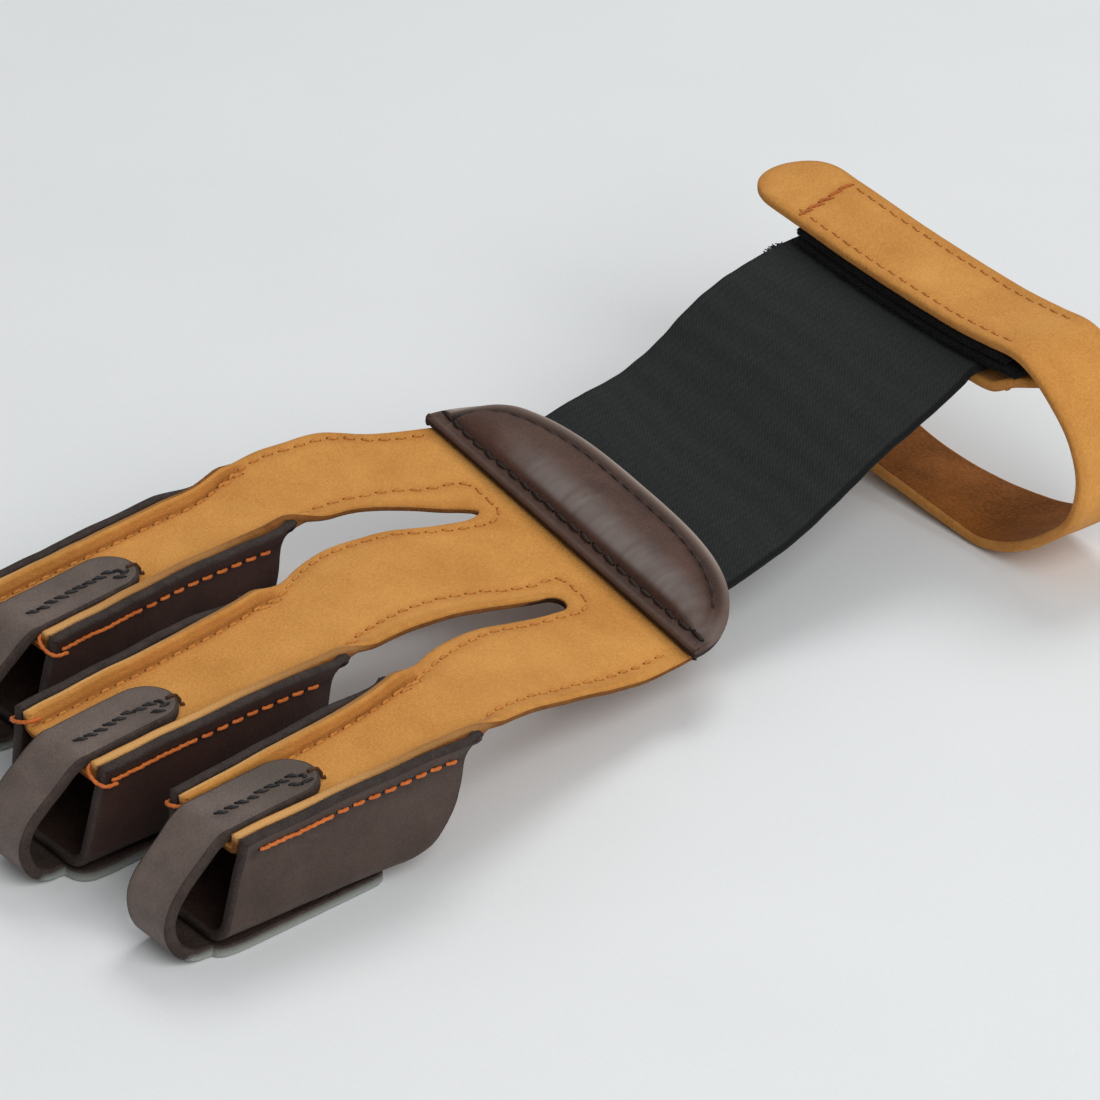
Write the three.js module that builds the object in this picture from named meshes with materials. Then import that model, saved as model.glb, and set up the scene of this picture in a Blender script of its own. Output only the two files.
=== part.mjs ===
// Three-finger shooting glove, lying on a table with its back up.
// Units are millimetres, +Z up, fingertips towards -Y, wrist towards +Y.
// Every piece is a sheet of leather, elastic or tape: a mid-surface worked out from the
// tables below, thickened evenly to both sides and closed round its cut edge.

import * as THREE from 'three';
import { mergeVertices } from 'three/addons/utils/BufferGeometryUtils.js';

// Thicknesses and the clearance between pieces that lie on each other
const PANEL_THICK = 1.6;
const STALL_THICK = 1.8;
const TIP_THICK = 2.0;
const PATCH_THICK = 2.0;
const ELASTIC_THICK = 1.5;
const STRAP_THICK = 1.8;
const TAPE_THICK = 1.7;
const GAP = 0.3;
const SEAM_GAP = 0.45;

// Points nearer than this are one point
const MERGE = 1e-3;

// Layout point that lies under the middle of the finished glove
const LAYOUT_CENTRE = { x: 21.79, y: -26.12 };

// Panel edges. One row for each station from the patch to the fingertips, one column for each edge
// from the far side to the near side. Slot A parts the far and middle fingers, slot B the middle
// and near fingers.
const PANEL_EDGES = [
  { y: -12, far: -14.0, aFar: 6.6, aNear: 8.0, bFar: 31.2, bNear: 35.0, near: 53.2 },
  { y: -18, far: -16.1, aFar: 6.3, aNear: 8.4, bFar: 31.1, bNear: 35.0, near: 54.2 },
  { y: -24, far: -18.8, aFar: 4.5, aNear: 8.3, bFar: 31.0, bNear: 35.0, near: 55.4 },
  { y: -30, far: -23.1, aFar: 0.6, aNear: 7.1, bFar: 30.6, bNear: 35.5, near: 56.3 },
  { y: -37, far: -24.7, aFar: -2.9, aNear: 5.1, bFar: 30.2, bNear: 35.8, near: 57.5 },
  { y: -43, far: -25.4, aFar: -3.8, aNear: 4.6, bFar: 30.2, bNear: 36.1, near: 59.0 },
  { y: -50, far: -22.6, aFar: -4.0, aNear: 4.8, bFar: 31.2, bNear: 37.9, near: 60.7 },
  { y: -57, far: -20.4, aFar: -2.9, aNear: 7.2, bFar: 32.7, bNear: 40.9, near: 62.8 },
  { y: -65, far: -20.0, aFar: -2.8, aNear: 11.4, bFar: 34.4, bNear: 45.8, near: 65.4 },
  { y: -75, far: -19.2, aFar: -2.2, aNear: 14.0, bFar: 35.2, bNear: 48.6, near: 65.8 },
  { y: -90, far: -17.8, aFar: -0.7, aNear: 15.8, bFar: 35.4, bNear: 50.6, near: 65.8 },
  { y: -104, far: -16.6, aFar: 0.6, aNear: 17.0, bFar: 36.0, bNear: 52.0, near: 66.0 },
  { y: -116, far: -15.6, aFar: 1.8, aNear: 18.4, bFar: 36.6, bNear: 53.2, near: 66.2 },
];

// Where each slot ends towards the wrist, and over what length its end rounds off
const SLOT_ENDS = [
  { farEdge: 'aFar', nearEdge: 'aNear', end: -20.4, round: 4.0 },
  { farEdge: 'bFar', nearEdge: 'bNear', end: -23.0, round: 2.2 },
];

// Fingers: the panel edges of the tongue, the front and rear of the stall's seam fins, where the
// tip strap's rounded end lies on the tongue, and how far the strap's end lies off its middle
const FINGERS = [
  { name: 'far', farEdge: 'far', nearEdge: 'aFar', front: -100.5, rear: -50.5, tipEnd: -77.6, drift: 1.7 },
  { name: 'middle', farEdge: 'aNear', nearEdge: 'bFar', front: -116, rear: -68.5, tipEnd: -95.4, drift: 1.9 },
  { name: 'near', farEdge: 'bNear', nearEdge: 'near', front: -111, rear: -66, tipEnd: -90.8, drift: 0.0 },
];

// Heights of the panel's mid-surface: level over the fingers, sloping to the near side at the patch
const TONGUE_FRONT_Z = 17.8;
const TONGUE_REAR_Z = 19.8;
const PALM_FAR_Z = 21.2;
const PALM_FAR_X = -15;
const PALM_SLOPE = 0.176;
const PALM_BLEND = { from: -66, to: -14 };

// Seam fins: height, how far behind the stall the edge starts to turn up, and the four nodes from
// the cut edge to the flat leather, given as inward distance when flat, when upright, and lift
const FIN_HEIGHT = 3.2;
const FIN_RUN_IN = 9;
const FIN_NODES = [
  { flat: 0.0, upright: 0.0, lift: 1.0 },
  { flat: 1.5, upright: 0.05, lift: 0.52 },
  { flat: 2.8, upright: 0.35, lift: 0.12 },
  { flat: 4.0, upright: 1.5, lift: 0.0 },
];
const FLAT_NODES = 2;

// Stations of the panel's grid: common to all fingers over the palm, then equal steps to each tip
const PALM_STATIONS = [-12, -16, -20.4, -21.2, -23.0, -23.4, -25.2, -29, -34, -39, -44];
const TONGUE_STEPS = 11;

// Stalls: height of the bottom, inward lean of each wall, radius of the bottom corners, how far
// the front edge runs forward at the bottom, how far each wall's top dips over its last stretch
const STALL_BOTTOM_Z = TIP_THICK + GAP + STALL_THICK / 2;
const STALL_LEAN = 1.5;
const STALL_CORNER = 4.0;
const STALL_FRONT_RAKE = 3.0;
const STALL_REAR_DIP = { over: 14, near: 0.5, far: 2.2 };
const STALL_CORNER_STEPS = 3;
const STALL_WALL_STEPS = 4;
const STALL_BOTTOM_STEPS = 2;
const STALL_ROWS = 7;

// Rear cut of the stall: setback of its rear edge by the depth below the fin's top
const STALL_REAR_CUT = [
  { depth: 0, setback: 0.0 },
  { depth: 2, setback: 3.0 },
  { depth: 8, setback: 4.0 },
  { depth: 12, setback: 5.0 },
  { depth: 16, setback: 7.4 },
  { depth: 19, setback: 10.8 },
  { depth: 22, setback: 14.0 },
  { depth: 40, setback: 14.6 },
];

// Tip straps: the pad under the stall and the tongue round the fingertip
const PAD_OVER_TONGUE = 0.6;
const PAD_REAR_SETBACK = 15.8;
const PAD_FRONT_RAKE = 3.4;
const TIP_WIDTH = 10.8;
const TIP_COLUMNS = 2;
const PAD_ROWS = 3;
const TIP_WRAP_ROWS = 16;
const TIP_TOP_START = 1;
const TIP_TOP_ROWS = 4;
const TIP_END_ANGLES = [30, 55, 75];

// Round the fingertip, as distance forward of the pad's front and height above the table
const TIP_WRAP = [
  { out: 0.0, z: 1.0 },
  { out: 2.8, z: 1.3 },
  { out: 5.4, z: 2.9 },
  { out: 6.9, z: 5.6 },
  { out: 7.2, z: 8.4 },
  { out: 6.4, z: 11.0 },
  { out: 4.3, z: 13.6 },
  { out: 1.5, z: 16.3 },
  { out: -1.2, z: 18.8 },
  { out: -3.0, z: 19.85 },
];
const TIP_ON_TONGUE = PANEL_THICK / 2 + GAP + TIP_THICK / 2;

// Wrist patch: a half-moon with a straight front edge and a super-elliptic rear edge
const PATCH = { middle: 20.3, halfWidth: 35.3, front: -14.4, depth: 18, power: 3 };
const PATCH_ON_PANEL = PANEL_THICK / 2 + GAP + PATCH_THICK / 2;
const PATCH_RISE = { from: -14.4, to: -8.8, over: 0.15 };
const PATCH_SIDE_FALL = { from: 1, to: 4 };
const PATCH_CROWN = 0.7;
const PATCH_TIP_TRIM = 0.035;
const PATCH_COLUMNS = 18;
const PATCH_ROWS = 6;

// Rear end of the panel under the patch, inset from the patch's curved edge
const PANEL_INSET = 2.0;
const PANEL_REAR_ROWS = [0.3, 0.6, 0.8, 0.92];

// Elastic: one row for each station from under the patch to the wrist strap
const ELASTIC_WIDTH = 50;
const ELASTIC_MIDDLE = { x: 19.4, y: 3 };
const ELASTIC_DRIFT = -0.08;
const ELASTIC_ON_PANEL = PANEL_THICK / 2 + GAP + ELASTIC_THICK / 2;
const ELASTIC_ROWS = [
  { y: 8, far: 22.3, near: 13.6 },
  { y: 14, far: 22.9, near: 14.9 },
  { y: 20, far: 23.5, near: 16.8 },
  { y: 28, far: 26.1, near: 20.1 },
  { y: 36, far: 30.3, near: 23.7 },
  { y: 44, far: 33.0, near: 26.3 },
  { y: 51, far: 34.2, near: 28.8 },
];
const ELASTIC_FREE = { from: 2.5, to: 58 };
const ELASTIC_LEVELS_OVER = 3;
const ELASTIC_UNDER_PATCH = [-8, -4.5, -1, ELASTIC_FREE.from];
const ELASTIC_IN_STRAP = [62, 68, 74.5];
const ELASTIC_FREE_STEPS = 18;
const ELASTIC_COLUMNS = 8;

// Wrist strap. Its outer ply follows this top line from the free end to where it turns down; the
// tapes, the elastic's end and the inner ply lie below it, one under the other.
const STRAP_WIDTH = 17.3;
const STRAP_MIDDLE_Y = 66.8;
const STRAP_TOP_LINE = [
  { x: -22.6, z: 41.4 },
  { x: -18, z: 41.5 },
  { x: -12, z: 40.9 },
  { x: -5, z: 40.2 },
  { x: 5, z: 39.1 },
  { x: 15, z: 38.3 },
  { x: 25, z: 37.7 },
  { x: 34, z: 37.4 },
  { x: 42, z: 37.7 },
  { x: 48, z: 38.0 },
];
const HOOK_DROP = STRAP_THICK / 2 + GAP + TAPE_THICK / 2;
const LOOP_DROP = HOOK_DROP + TAPE_THICK + GAP;
const ELASTIC_DROP = LOOP_DROP + TAPE_THICK / 2 + GAP + ELASTIC_THICK / 2;
const INNER_DROP = ELASTIC_DROP + ELASTIC_THICK / 2 + GAP + STRAP_THICK / 2;
const INNER_END_DROP = LOOP_DROP + TAPE_THICK / 2 + GAP + STRAP_THICK / 2;

// The rest of the strap's loop: down the near side, along the table and up the far side
const STRAP_NEAR_TURN = [
  { x: 52.2, z: 36.8 },
  { x: 57.6, z: 33.2 },
  { x: 62.6, z: 28.0 },
  { x: 65.2, z: 21.0 },
  { x: 64.0, z: 14.0 },
  { x: 58.8, z: 8.6 },
  { x: 52.4, z: 5.0 },
];
const STRAP_TABLE_RUN = [
  { x: 44.5, z: 2.3 },
  { x: 36.0, z: 1.75 },
  { x: 27.0, z: 1.8 },
  { x: 18.0, z: 2.4 },
  { x: 9.0, z: 3.7 },
];
const STRAP_FAR_TURN = [
  { x: 1.0, z: 5.6 },
  { x: -6.0, z: 8.6 },
  { x: -11.0, z: 12.6 },
  { x: -13.3, z: 17.6 },
  { x: -12.6, z: 23.0 },
  { x: -9.8, z: 27.8 },
  { x: -5.8, z: 30.6 },
];

// The loop sags a little toward the fingers, and its low run is twisted: lift is how much higher
// than the middle its wrist-side edge stands there.
const STRAP_SAG = { reach: 2.0, below: 24, fully: 3 };
const STRAP_TWIST = [
  { x: -5, lift: 0 },
  { x: 5, lift: -1.0 },
  { x: 14, lift: -1.5 },
  { x: 22, lift: -1.2 },
  { x: 27, lift: -0.9 },
  { x: 33, lift: -0.4 },
  { x: 38, lift: 0.2 },
  { x: 43, lift: 0.8 },
  { x: 50, lift: 0.8 },
  { x: 58, lift: 0.3 },
  { x: 64, lift: 0 },
];
const STRAP_TWIST_FADES = { from: 6, to: 14 };
const INNER_PLY = { start: 0, underElastic: 43.0, clearOfElastic: 47.4, end: 51.5 };
const STRAP_STEP = 4;
const STRAP_COLUMNS = 2;
const STRAP_END_STEPS = 4;
const STRAP_END_FIRST = 0.6;
const INNER_PLY_STEPS = 7;

// Tapes between the plies
const TAPE_WIDTH = 16.4;
const HOOK_SPAN = { from: -7, to: 46 };
const LOOP_SPAN = { from: -7.5, to: 48.5 };
const TAPE_STEPS = 12;
const TAPE_COLUMNS = 1;

// Colours as seen in the photo, with roughness
const FINISHES = {
  tanNubuck: { color: 0xc89450, roughness: 0.85 },
  darkLeather: { color: 0x504440, roughness: 0.55 },
  tipLeather: { color: 0x78706c, roughness: 0.5 },
  patchLeather: { color: 0x5a4b46, roughness: 0.4 },
  elasticWeave: { color: 0x2d3030, roughness: 0.9 },
  tapeBlack: { color: 0x141414, roughness: 0.95 },
};

const lerp = THREE.MathUtils.lerp;

function smoothBetween(value, from, to) {
  const t = THREE.MathUtils.clamp((value - from) / (to - from), 0, 1);
  return t * t * (3 - 2 * t);
}

// Smooth value of one table column at a place along another. The slope at each row is the mean of
// its neighbours' slopes, and zero past both ends.
function readTable(rows, along, column, place) {
  const rising = rows[rows.length - 1][along] > rows[0][along];
  const sorted = rising ? rows : [...rows].reverse();
  const last = sorted.length - 1;
  if (place <= sorted[0][along]) return sorted[0][column];
  if (place >= sorted[last][along]) return sorted[last][column];
  let i = 0;
  while (place > sorted[i + 1][along]) i += 1;
  const slope = (k) => {
    const a = sorted[Math.max(k - 1, 0)];
    const b = sorted[Math.min(k + 1, last)];
    return (b[column] - a[column]) / (b[along] - a[along]);
  };
  const width = sorted[i + 1][along] - sorted[i][along];
  const t = (place - sorted[i][along]) / width;
  const h00 = 2 * t ** 3 - 3 * t ** 2 + 1;
  const h10 = t ** 3 - 2 * t ** 2 + t;
  const h01 = 3 * t ** 2 - 2 * t ** 3;
  const h11 = t ** 3 - t ** 2;
  return h00 * sorted[i][column] + h10 * width * slope(i)
    + h01 * sorted[i + 1][column] + h11 * width * slope(i + 1);
}

// A closed sheet from a mid-surface. Each patch is a grid of points, rows by columns; grids that
// share points are joined there. The sheet is thickened along the mean normal at each point.
function sheetSolid(grids, thickness) {
  const points = [];
  const found = new Map();
  const indexOf = (p) => {
    const key = [p.x, p.y, p.z].map((value) => Math.round(value / MERGE)).join();
    if (!found.has(key)) {
      found.set(key, points.length);
      points.push(p.clone());
    }
    return found.get(key);
  };
  const faces = [];
  const addFace = (a, b, c) => {
    if (a !== b && b !== c && a !== c) faces.push([a, b, c]);
  };
  for (const grid of grids) {
    const index = grid.map((row) => row.map(indexOf));
    for (let r = 0; r + 1 < index.length; r += 1) {
      for (let c = 0; c + 1 < index[r].length; c += 1) {
        addFace(index[r][c], index[r][c + 1], index[r + 1][c + 1]);
        addFace(index[r][c], index[r + 1][c + 1], index[r + 1][c]);
      }
    }
  }
  const normals = points.map(() => new THREE.Vector3());
  const side = new THREE.Vector3();
  const other = new THREE.Vector3();
  for (const [a, b, c] of faces) {
    side.subVectors(points[b], points[a]);
    other.subVectors(points[c], points[a]);
    side.cross(other);
    for (const i of [a, b, c]) normals[i].add(side);
  }
  const count = points.length;
  const positions = new Float32Array(count * 6);
  points.forEach((p, i) => {
    const n = normals[i].normalize().multiplyScalar(thickness / 2);
    positions.set([p.x + n.x, p.y + n.y, p.z + n.z], i * 3);
    positions.set([p.x - n.x, p.y - n.y, p.z - n.z], (count + i) * 3);
  });
  const edges = new Set();
  const triangles = [];
  for (const [a, b, c] of faces) {
    triangles.push(a, b, c);
    triangles.push(count + a, count + c, count + b);
    edges.add(`${a},${b}`);
    edges.add(`${b},${c}`);
    edges.add(`${c},${a}`);
  }
  for (const edge of edges) {
    const [a, b] = edge.split(',').map(Number);
    if (edges.has(`${b},${a}`)) continue;
    triangles.push(b, a, count + a);
    triangles.push(b, count + a, count + b);
  }
  const geometry = new THREE.BufferGeometry();
  geometry.setAttribute('position', new THREE.BufferAttribute(positions, 3));
  geometry.setIndex(triangles);
  return mergeVertices(geometry, MERGE);
}

function makeMesh(name, geometry, finish) {
  const material = new THREE.MeshStandardMaterial({ ...FINISHES[finish], metalness: 0 });
  const mesh = new THREE.Mesh(geometry, material);
  mesh.name = name;
  return mesh;
}

// Panel

function edgeX(edge, y) {
  return readTable(PANEL_EDGES, 'y', edge, y);
}

function tongueZ(finger, y) {
  const t = THREE.MathUtils.clamp((y - finger.front) / (finger.rear - finger.front), 0, 1);
  return lerp(TONGUE_FRONT_Z, TONGUE_REAR_Z, t);
}

function palmZ(x) {
  return PALM_FAR_Z - PALM_SLOPE * (x - PALM_FAR_X);
}

function panelZ(finger, x, y) {
  return lerp(tongueZ(finger, y), palmZ(x), smoothBetween(y, PALM_BLEND.from, PALM_BLEND.to));
}

// How far the seam fins have turned up: 0 on the open palm, 1 along the stall
function finRise(finger, y) {
  return smoothBetween(-y, -(finger.rear + FIN_RUN_IN), -(finger.rear - 2));
}

// Both edges of a tongue at one station, with the slots closed towards the wrist
function tongueEdges(finger, y) {
  const edges = [edgeX(finger.farEdge, y), edgeX(finger.nearEdge, y)];
  for (const slot of SLOT_ENDS) {
    const middle = (edgeX(slot.farEdge, y) + edgeX(slot.nearEdge, y)) / 2;
    const depth = THREE.MathUtils.clamp((slot.end - y) / slot.round, 0, 1);
    const opening = Math.sqrt(1 - (1 - depth) ** 2);
    if (finger.nearEdge === slot.farEdge) edges[1] = lerp(middle, edges[1], opening);
    if (finger.farEdge === slot.nearEdge) edges[0] = lerp(middle, edges[0], opening);
  }
  return edges;
}

// One row of points across a tongue: fin nodes, flat nodes, fin nodes
function tongueRow(finger, far, near, y) {
  const rise = finRise(finger, y);
  const row = [];
  const addFin = (edge, inward, nodes) => {
    for (const node of nodes) {
      const x = edge + inward * lerp(node.flat, node.upright, rise);
      const z = panelZ(finger, x, y) + FIN_HEIGHT * rise * node.lift;
      row.push(new THREE.Vector3(x, y, z));
    }
  };
  const innerNode = FIN_NODES[FIN_NODES.length - 1];
  const inset = lerp(innerNode.flat, innerNode.upright, rise);
  addFin(far, 1, FIN_NODES);
  for (let i = 1; i <= FLAT_NODES; i += 1) {
    const x = lerp(far + inset, near - inset, i / (FLAT_NODES + 1));
    row.push(new THREE.Vector3(x, y, panelZ(finger, x, y)));
  }
  addFin(near, -1, [...FIN_NODES].reverse());
  return row;
}

function panelStations(finger) {
  const stations = [...PALM_STATIONS];
  const palmEnd = PALM_STATIONS[PALM_STATIONS.length - 1];
  for (let i = 1; i <= TONGUE_STEPS; i += 1) {
    stations.push(lerp(palmEnd, finger.front, i / TONGUE_STEPS));
  }
  return stations;
}

// Under the patch the panel keeps its three spans and narrows with the patch's curved edge
function panelRearRow(finger, share) {
  const depth = PATCH.depth - PANEL_INSET;
  const start = PALM_STATIONS[0];
  const y = lerp(start, PATCH.front + depth, share);
  const halfSpan = (place) => (1 - ((place - PATCH.front) / depth) ** 2) ** (1 / PATCH.power);
  const narrowing = halfSpan(y) / halfSpan(start);
  return tongueRow(finger, ...tongueEdges(finger, start), start).map((p) => {
    const x = PATCH.middle + (p.x - PATCH.middle) * narrowing;
    return new THREE.Vector3(x, y, palmZ(x));
  });
}

function backPanel() {
  const grids = FINGERS.map((finger) => {
    const rear = [...PANEL_REAR_ROWS].reverse().map((share) => panelRearRow(finger, share));
    const front = panelStations(finger).map((y) => tongueRow(finger, ...tongueEdges(finger, y), y));
    return [...rear, ...front].reverse();
  });
  return makeMesh('back_panel', sheetSolid(grids, PANEL_THICK), 'tanNubuck');
}

// Finger stalls

// Wall mid-line beside a tongue edge; sign is 1 on the near side and -1 on the far side
function wallX(edge, sign, y) {
  const slope = (edgeX(edge, y + 1) - edgeX(edge, y - 1)) / 2;
  const offset = PANEL_THICK / 2 + SEAM_GAP + STALL_THICK / 2;
  return edgeX(edge, y) + sign * offset * Math.hypot(1, slope);
}

// The stall's section as depth below the fin top and inward distance from the wall's top
function stallSection(topZ) {
  const straight = topZ - STALL_BOTTOM_Z - STALL_CORNER;
  const half = [];
  for (let i = 0; i <= STALL_WALL_STEPS; i += 1) {
    const t = i / STALL_WALL_STEPS;
    half.push({ depth: straight * t, inward: STALL_LEAN * t, along: straight * t });
  }
  for (let i = 1; i <= STALL_CORNER_STEPS; i += 1) {
    const angle = (Math.PI / 2) * (i / STALL_CORNER_STEPS);
    half.push({
      depth: straight + STALL_CORNER * Math.sin(angle),
      inward: STALL_LEAN + STALL_CORNER * (1 - Math.cos(angle)),
      along: straight + STALL_CORNER * angle,
    });
  }
  return half;
}

function stallPoint(finger, node, sign, share) {
  const rake = STALL_FRONT_RAKE * (node.depth / (TONGUE_FRONT_Z + FIN_HEIGHT - STALL_BOTTOM_Z));
  const front = finger.front - rake;
  const rear = finger.rear - readTable(STALL_REAR_CUT, 'depth', 'setback', node.along);
  const y = lerp(front, rear, share);
  const edge = sign > 0 ? finger.nearEdge : finger.farEdge;
  const x = wallX(edge, sign, y) - sign * node.inward;
  const dip = sign > 0 ? STALL_REAR_DIP.near : STALL_REAR_DIP.far;
  const dipped = dip * smoothBetween(y, finger.rear - STALL_REAR_DIP.over, finger.rear);
  const topZ = tongueZ(finger, y) + FIN_HEIGHT - dipped;
  const fall = (topZ - STALL_BOTTOM_Z) / (TONGUE_REAR_Z + FIN_HEIGHT - STALL_BOTTOM_Z);
  return new THREE.Vector3(x, y, topZ - node.depth * fall);
}

function fingerStall(finger) {
  const half = stallSection(TONGUE_REAR_Z + FIN_HEIGHT);
  const grid = [];
  for (let r = 0; r <= STALL_ROWS; r += 1) {
    const share = r / STALL_ROWS;
    const near = half.map((node) => stallPoint(finger, node, 1, share));
    const far = half.map((node) => stallPoint(finger, node, -1, share)).reverse();
    const row = [...near];
    for (let i = 1; i < STALL_BOTTOM_STEPS; i += 1) {
      row.push(near[near.length - 1].clone().lerp(far[0], i / STALL_BOTTOM_STEPS));
    }
    row.push(...far);
    grid.push(row);
  }
  return makeMesh(`finger_stall_${finger.name}`, sheetSolid([grid], STALL_THICK), 'darkLeather');
}

// Tip straps

function tongueMiddle(finger, y) {
  return (edgeX(finger.farEdge, y) + edgeX(finger.nearEdge, y)) / 2;
}

function acrossRow(middle, halfWidth, y, z, columns) {
  const row = [];
  for (let c = 0; c <= columns; c += 1) {
    row.push(new THREE.Vector3(middle + halfWidth * (2 * c / columns - 1), y, z));
  }
  return row;
}

// The pad and the tongue are one grid; the pad's shoulders are extra columns beside it
function tipStrap(finger) {
  const padFront = finger.front - PAD_FRONT_RAKE;
  const padRear = finger.rear - PAD_REAR_SETBACK;
  const topStart = finger.front + TIP_TOP_START;
  const tongueWidth = edgeX(finger.nearEdge, finger.front) - edgeX(finger.farEdge, finger.front);
  const padHalf = (tongueWidth + PAD_OVER_TONGUE) / 2;
  const tongue = [];
  const shoulders = [[], []];
  for (let r = 0; r <= PAD_ROWS; r += 1) {
    const y = lerp(padRear, padFront, r / PAD_ROWS);
    const middle = tongueMiddle(finger, Math.max(y, finger.front));
    const row = acrossRow(middle, TIP_WIDTH / 2, y, TIP_THICK / 2, TIP_COLUMNS);
    tongue.push(row);
    [-1, 1].forEach((sign, i) => {
      const outer = new THREE.Vector3(middle + sign * padHalf, y, TIP_THICK / 2);
      const inner = sign < 0 ? row[0] : row[TIP_COLUMNS];
      shoulders[i].push(sign < 0 ? [outer, inner] : [inner, outer]);
    });
  }
  const wrapCurve = new THREE.CatmullRomCurve3([
    ...TIP_WRAP.map((node) => new THREE.Vector3(0, padFront - node.out, node.z)),
    new THREE.Vector3(0, topStart, tongueZ(finger, topStart) + TIP_ON_TONGUE),
  ]);
  const topMiddle = (y) => tongueMiddle(finger, y) + finger.drift;
  for (let i = 1; i <= TIP_WRAP_ROWS; i += 1) {
    const p = wrapCurve.getPointAt(i / TIP_WRAP_ROWS);
    const x = tongueMiddle(finger, finger.front) + finger.drift * (i / TIP_WRAP_ROWS);
    tongue.push(acrossRow(x, TIP_WIDTH / 2, p.y, p.z, TIP_COLUMNS));
  }
  const roundStart = finger.tipEnd - TIP_WIDTH / 2;
  for (let i = 1; i <= TIP_TOP_ROWS; i += 1) {
    const y = lerp(topStart, roundStart, i / TIP_TOP_ROWS);
    const z = tongueZ(finger, y) + TIP_ON_TONGUE;
    tongue.push(acrossRow(topMiddle(y), TIP_WIDTH / 2, y, z, TIP_COLUMNS));
  }
  for (const angle of TIP_END_ANGLES.map(THREE.MathUtils.degToRad)) {
    const y = roundStart + (TIP_WIDTH / 2) * Math.sin(angle);
    const z = tongueZ(finger, y) + TIP_ON_TONGUE;
    const half = (TIP_WIDTH / 2) * Math.cos(angle);
    tongue.push(acrossRow(topMiddle(roundStart), half, y, z, TIP_COLUMNS));
  }
  const grids = [tongue, ...shoulders].map((grid) => [...grid].reverse());
  return makeMesh(`tip_strap_${finger.name}`, sheetSolid(grids, TIP_THICK), 'tipLeather');
}

// Wrist patch

function elasticMiddle(y) {
  return ELASTIC_MIDDLE.x + ELASTIC_DRIFT * (y - ELASTIC_MIDDLE.y);
}

function patchZ(x, y, inside) {
  const besideElastic = Math.abs(x - elasticMiddle(y)) - ELASTIC_WIDTH / 2;
  const overElastic = 1 - smoothBetween(besideElastic, PATCH_SIDE_FALL.from, PATCH_SIDE_FALL.to);
  const rise = overElastic * smoothBetween(y, PATCH_RISE.from, PATCH_RISE.to);
  const lift = (ELASTIC_THICK + GAP + PATCH_RISE.over) * rise;
  return palmZ(x) + PATCH_ON_PANEL + lift + PATCH_CROWN * inside;
}

function wristPatch() {
  const grid = [];
  for (let r = 0; r <= PATCH_ROWS; r += 1) {
    const share = r / PATCH_ROWS;
    const row = [];
    for (let c = 0; c <= PATCH_COLUMNS; c += 1) {
      const turn = lerp(PATCH_TIP_TRIM, 1 - PATCH_TIP_TRIM, c / PATCH_COLUMNS);
      const u = -Math.cos(Math.PI * turn);
      const span = PATCH.depth * Math.sqrt(1 - Math.abs(u) ** PATCH.power);
      const x = PATCH.middle + PATCH.halfWidth * u;
      const y = PATCH.front + span * share;
      const inside = Math.sin(Math.PI * share) * (1 - u ** 4);
      row.push(new THREE.Vector3(x, y, patchZ(x, y, inside)));
    }
    grid.push(row);
  }
  return makeMesh('wrist_patch', sheetSolid([grid], PATCH_THICK), 'patchLeather');
}

// Elastic strap

function strapTopZ(x) {
  return readTable(STRAP_TOP_LINE, 'x', 'z', x);
}

function elasticZ(share, x, y) {
  const onPanel = palmZ(x) + ELASTIC_ON_PANEL;
  const first = { y: ELASTIC_FREE.from };
  const last = { y: ELASTIC_FREE.to };
  const farX = (place) => elasticMiddle(place) - ELASTIC_WIDTH / 2;
  const nearX = (place) => elasticMiddle(place) + ELASTIC_WIDTH / 2;
  first.far = palmZ(farX(first.y)) + ELASTIC_ON_PANEL;
  first.near = palmZ(nearX(first.y)) + ELASTIC_ON_PANEL;
  last.far = strapTopZ(farX(last.y)) - ELASTIC_DROP;
  last.near = strapTopZ(nearX(last.y)) - ELASTIC_DROP;
  const table = [first, ...ELASTIC_ROWS, last];
  const free = lerp(readTable(table, 'y', 'far', y), readTable(table, 'y', 'near', y), share);
  const inStrap = strapTopZ(x) - ELASTIC_DROP;
  if (y <= ELASTIC_FREE.from) return onPanel;
  const levelFrom = ELASTIC_FREE.to - ELASTIC_LEVELS_OVER;
  return lerp(free, inStrap, smoothBetween(y, levelFrom, ELASTIC_FREE.to));
}

function elasticStrap() {
  const stations = [...ELASTIC_UNDER_PATCH];
  for (let i = 1; i <= ELASTIC_FREE_STEPS; i += 1) {
    stations.push(lerp(ELASTIC_FREE.from, ELASTIC_FREE.to, i / ELASTIC_FREE_STEPS));
  }
  stations.push(...ELASTIC_IN_STRAP);
  const grid = stations.map((y) => {
    const row = [];
    for (let c = 0; c <= ELASTIC_COLUMNS; c += 1) {
      const share = c / ELASTIC_COLUMNS;
      const x = elasticMiddle(y) + ELASTIC_WIDTH * (share - 0.5);
      row.push(new THREE.Vector3(x, y, elasticZ(share, x, y)));
    }
    return row;
  });
  return makeMesh('elastic_strap', sheetSolid([grid], ELASTIC_THICK), 'elasticWeave');
}

// Wrist strap and tapes

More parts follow.
